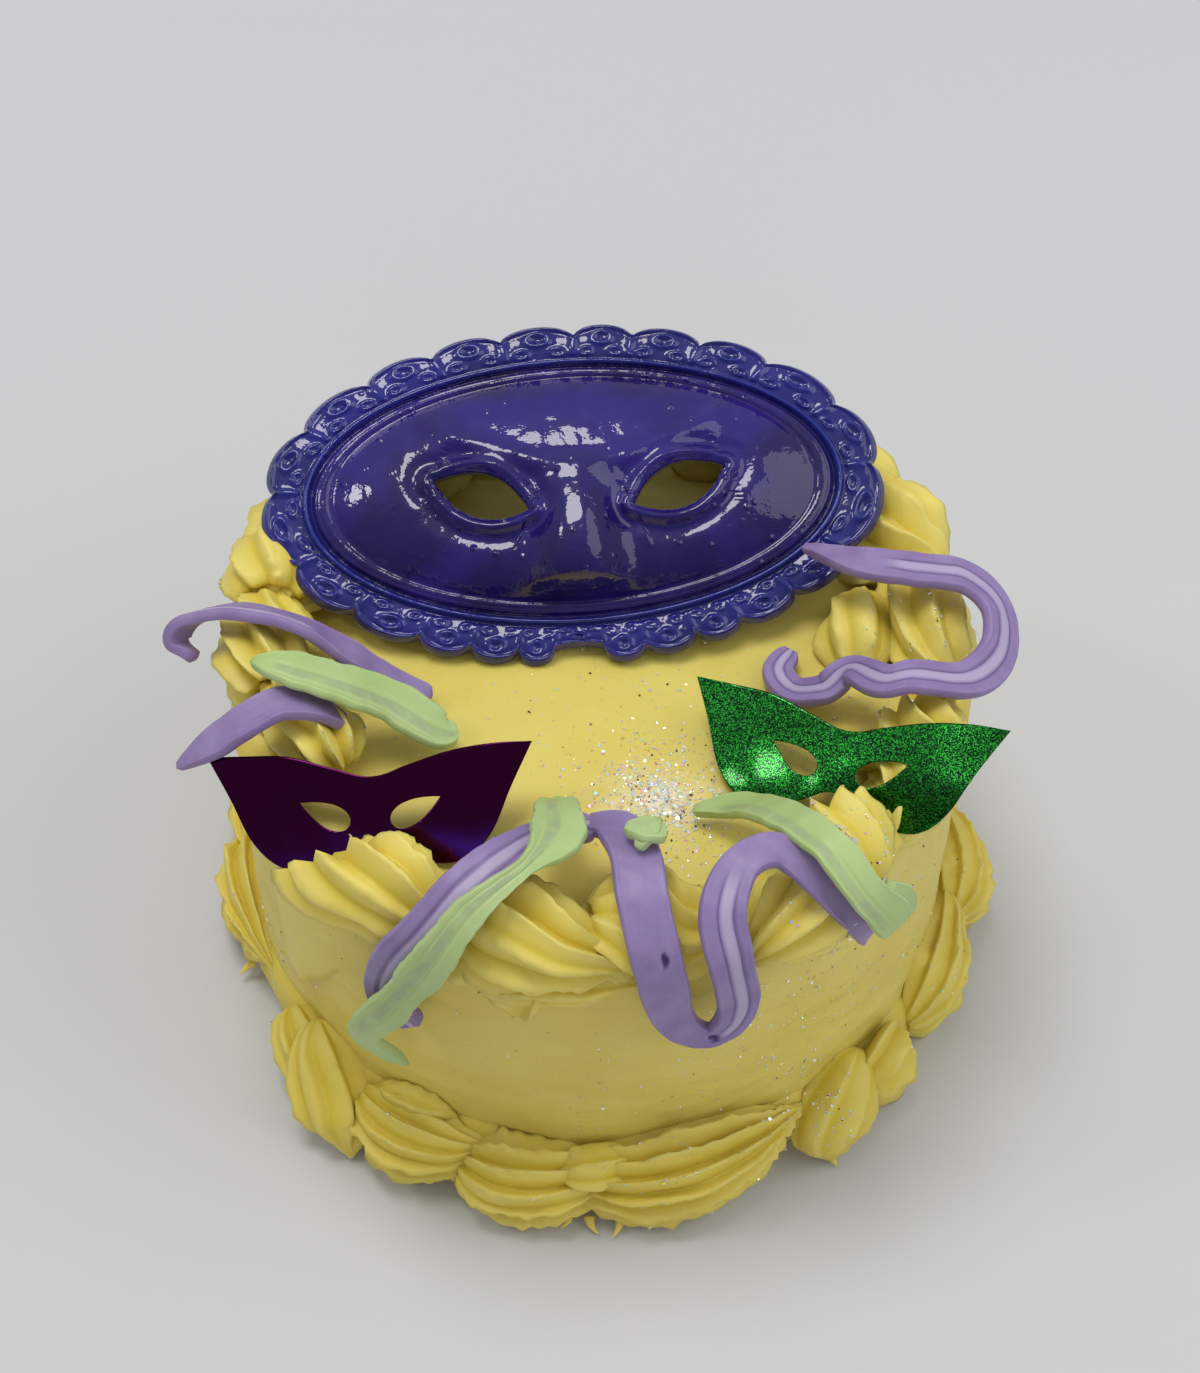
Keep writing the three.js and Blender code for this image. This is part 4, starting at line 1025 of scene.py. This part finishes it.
def glitter_paint():
    paint = shader("iridescent_glitter", Metallic=0.4, Roughness=0.15)
    ramp = node(paint, "ShaderNodeValToRGB")
    ramp.color_ramp.interpolation = "CONSTANT"
    elements = ramp.color_ramp.elements
    for element, (position, colour) in zip(elements, FLECK_COLOURS):
        element.position, element.color = position, srgb(*colour)
    for position, colour in FLECK_COLOURS[2:]:
        elements.new(position).color = srgb(*colour)
    link(paint, mark_of(paint), ramp.inputs["Fac"])
    link(paint, ramp.outputs["Color"], surface(paint)["Base Color"])
    return paint


def tree_of(piece):
    return BVHTree.FromObject(piece, bpy.context.evaluated_depsgraph_get())


# Dressed pieces
# The last colour is pale dust for the drum, and painted valley shade for the piped and foot icing
icing_smooth = icing("yellow_icing_smooth", (0.6, 0.6, 3.0), (221, 204, 102), (216, 196, 90), (238, 228, 204))
icing_piped = icing("yellow_icing_piped", None, (228, 212, 112), (222, 203, 98), (216, 192, 60))
icing_foot = icing("yellow_icing_foot", None, (224, 206, 102), (218, 198, 90), (212, 188, 56))
lavender = ribbon_paint()
leaf_green = leaf_paint()

drum_piece = drum()
dress(drum_piece, icing_smooth, "icing", "cake_drum")
top_piece = top_border()
dress(top_piece, icing_piped, "icing", "top_border")
foot_piece = foot_border()
dress(foot_piece, icing_foot, "icing", "foot_border")
dress(lace_mask(), mask_paint(), "mask_blue", "lace_mask")
dress(foil("green_foil", FOIL_GREEN), foil_green_paint(), "foil_green", "foil_mask_green")
dress(foil("purple_foil", FOIL_PURPLE), foil_purple_paint(), "foil_purple", "foil_mask_purple")
for name, solid, parts in RIBBONS:
    dress(strips(name, RIBBON_THICKNESS, parts), lavender, "ribbon_lavender", solid)
for name, solid, parts in LEAVES:
    dress(strips(name, LEAF_THICKNESS, parts), leaf_green, "leaf_green", solid)
dress(glitter([tree_of(piece) for piece in (drum_piece, top_piece, foot_piece)]), glitter_paint(), "icing")

# Floor, light and camera
bpy.ops.mesh.primitive_plane_add(size=6)
floor = bpy.context.object
floor.name = "floor"
floor.data.materials.append(shader("floor_grey", Roughness=0.75, Base_Color=srgb(199, 199, 199)))

world = bpy.data.worlds.new("studio")
bpy.context.scene.world = world
world.use_nodes = True
background = world.node_tree.nodes["Background"]
background.inputs["Color"].default_value = (0.9, 0.93, 1.0, 1.0)
toward = node(world, "ShaderNodeVectorMath", operation="DOT_PRODUCT")
toward.inputs[1].default_value = (0.0, 0.65, 0.76)
link(world, node(world, "ShaderNodeTexCoord").outputs["Generated"], toward.inputs[0])
link(world, ranged(world, toward.outputs["Value"], -0.5, 0.9, 0.16, 0.5), background.inputs["Strength"])


def lamp(name, place, target, size, watts, colour):
    light = bpy.data.lights.new(name, "AREA")
    light.shape = "DISK"
    light.size = size
    light.energy = watts
    light.color = colour
    thing = added(name, light)
    thing.location = place
    thing.rotation_euler = (Vector(target) - Vector(place)).to_track_quat("-Z", "Y").to_euler()
    return thing


lamp("overhead", place=(-0.24, 0.15, 1.5), target=(0, 0, 0.03), size=0.65, watts=10.1,
     colour=(1, 0.985, 0.96))
lamp("window", place=(-0.75, -0.05, 0.85), target=(0, 0, 0.05), size=0.2, watts=1.2, colour=(1, 1, 1))
lamp("fill_right", place=(1.1, -0.2, 1.0), target=(0, 0, 0.03), size=1.4, watts=7.1, colour=(0.96, 0.98, 1))
fill_front = lamp("fill_front", place=(0.1, -1.5, 0.5), target=(0, 0, 0.03), size=1.8, watts=6.0,
                  colour=(1, 0.99, 0.98))
fill_front.visible_glossy = False

bpy.context.scene.view_settings.view_transform = "Standard"
camera_data = bpy.data.cameras.new("camera")
camera_data.lens = 73.81
camera_data.sensor_width = 36
camera_data.clip_start = 0.01
camera = added("camera", camera_data)
camera.location = (0, -0.22336, 0.30743)
camera.rotation_euler = (math.radians(40.2), 0, 0)
bpy.context.scene.camera = camera
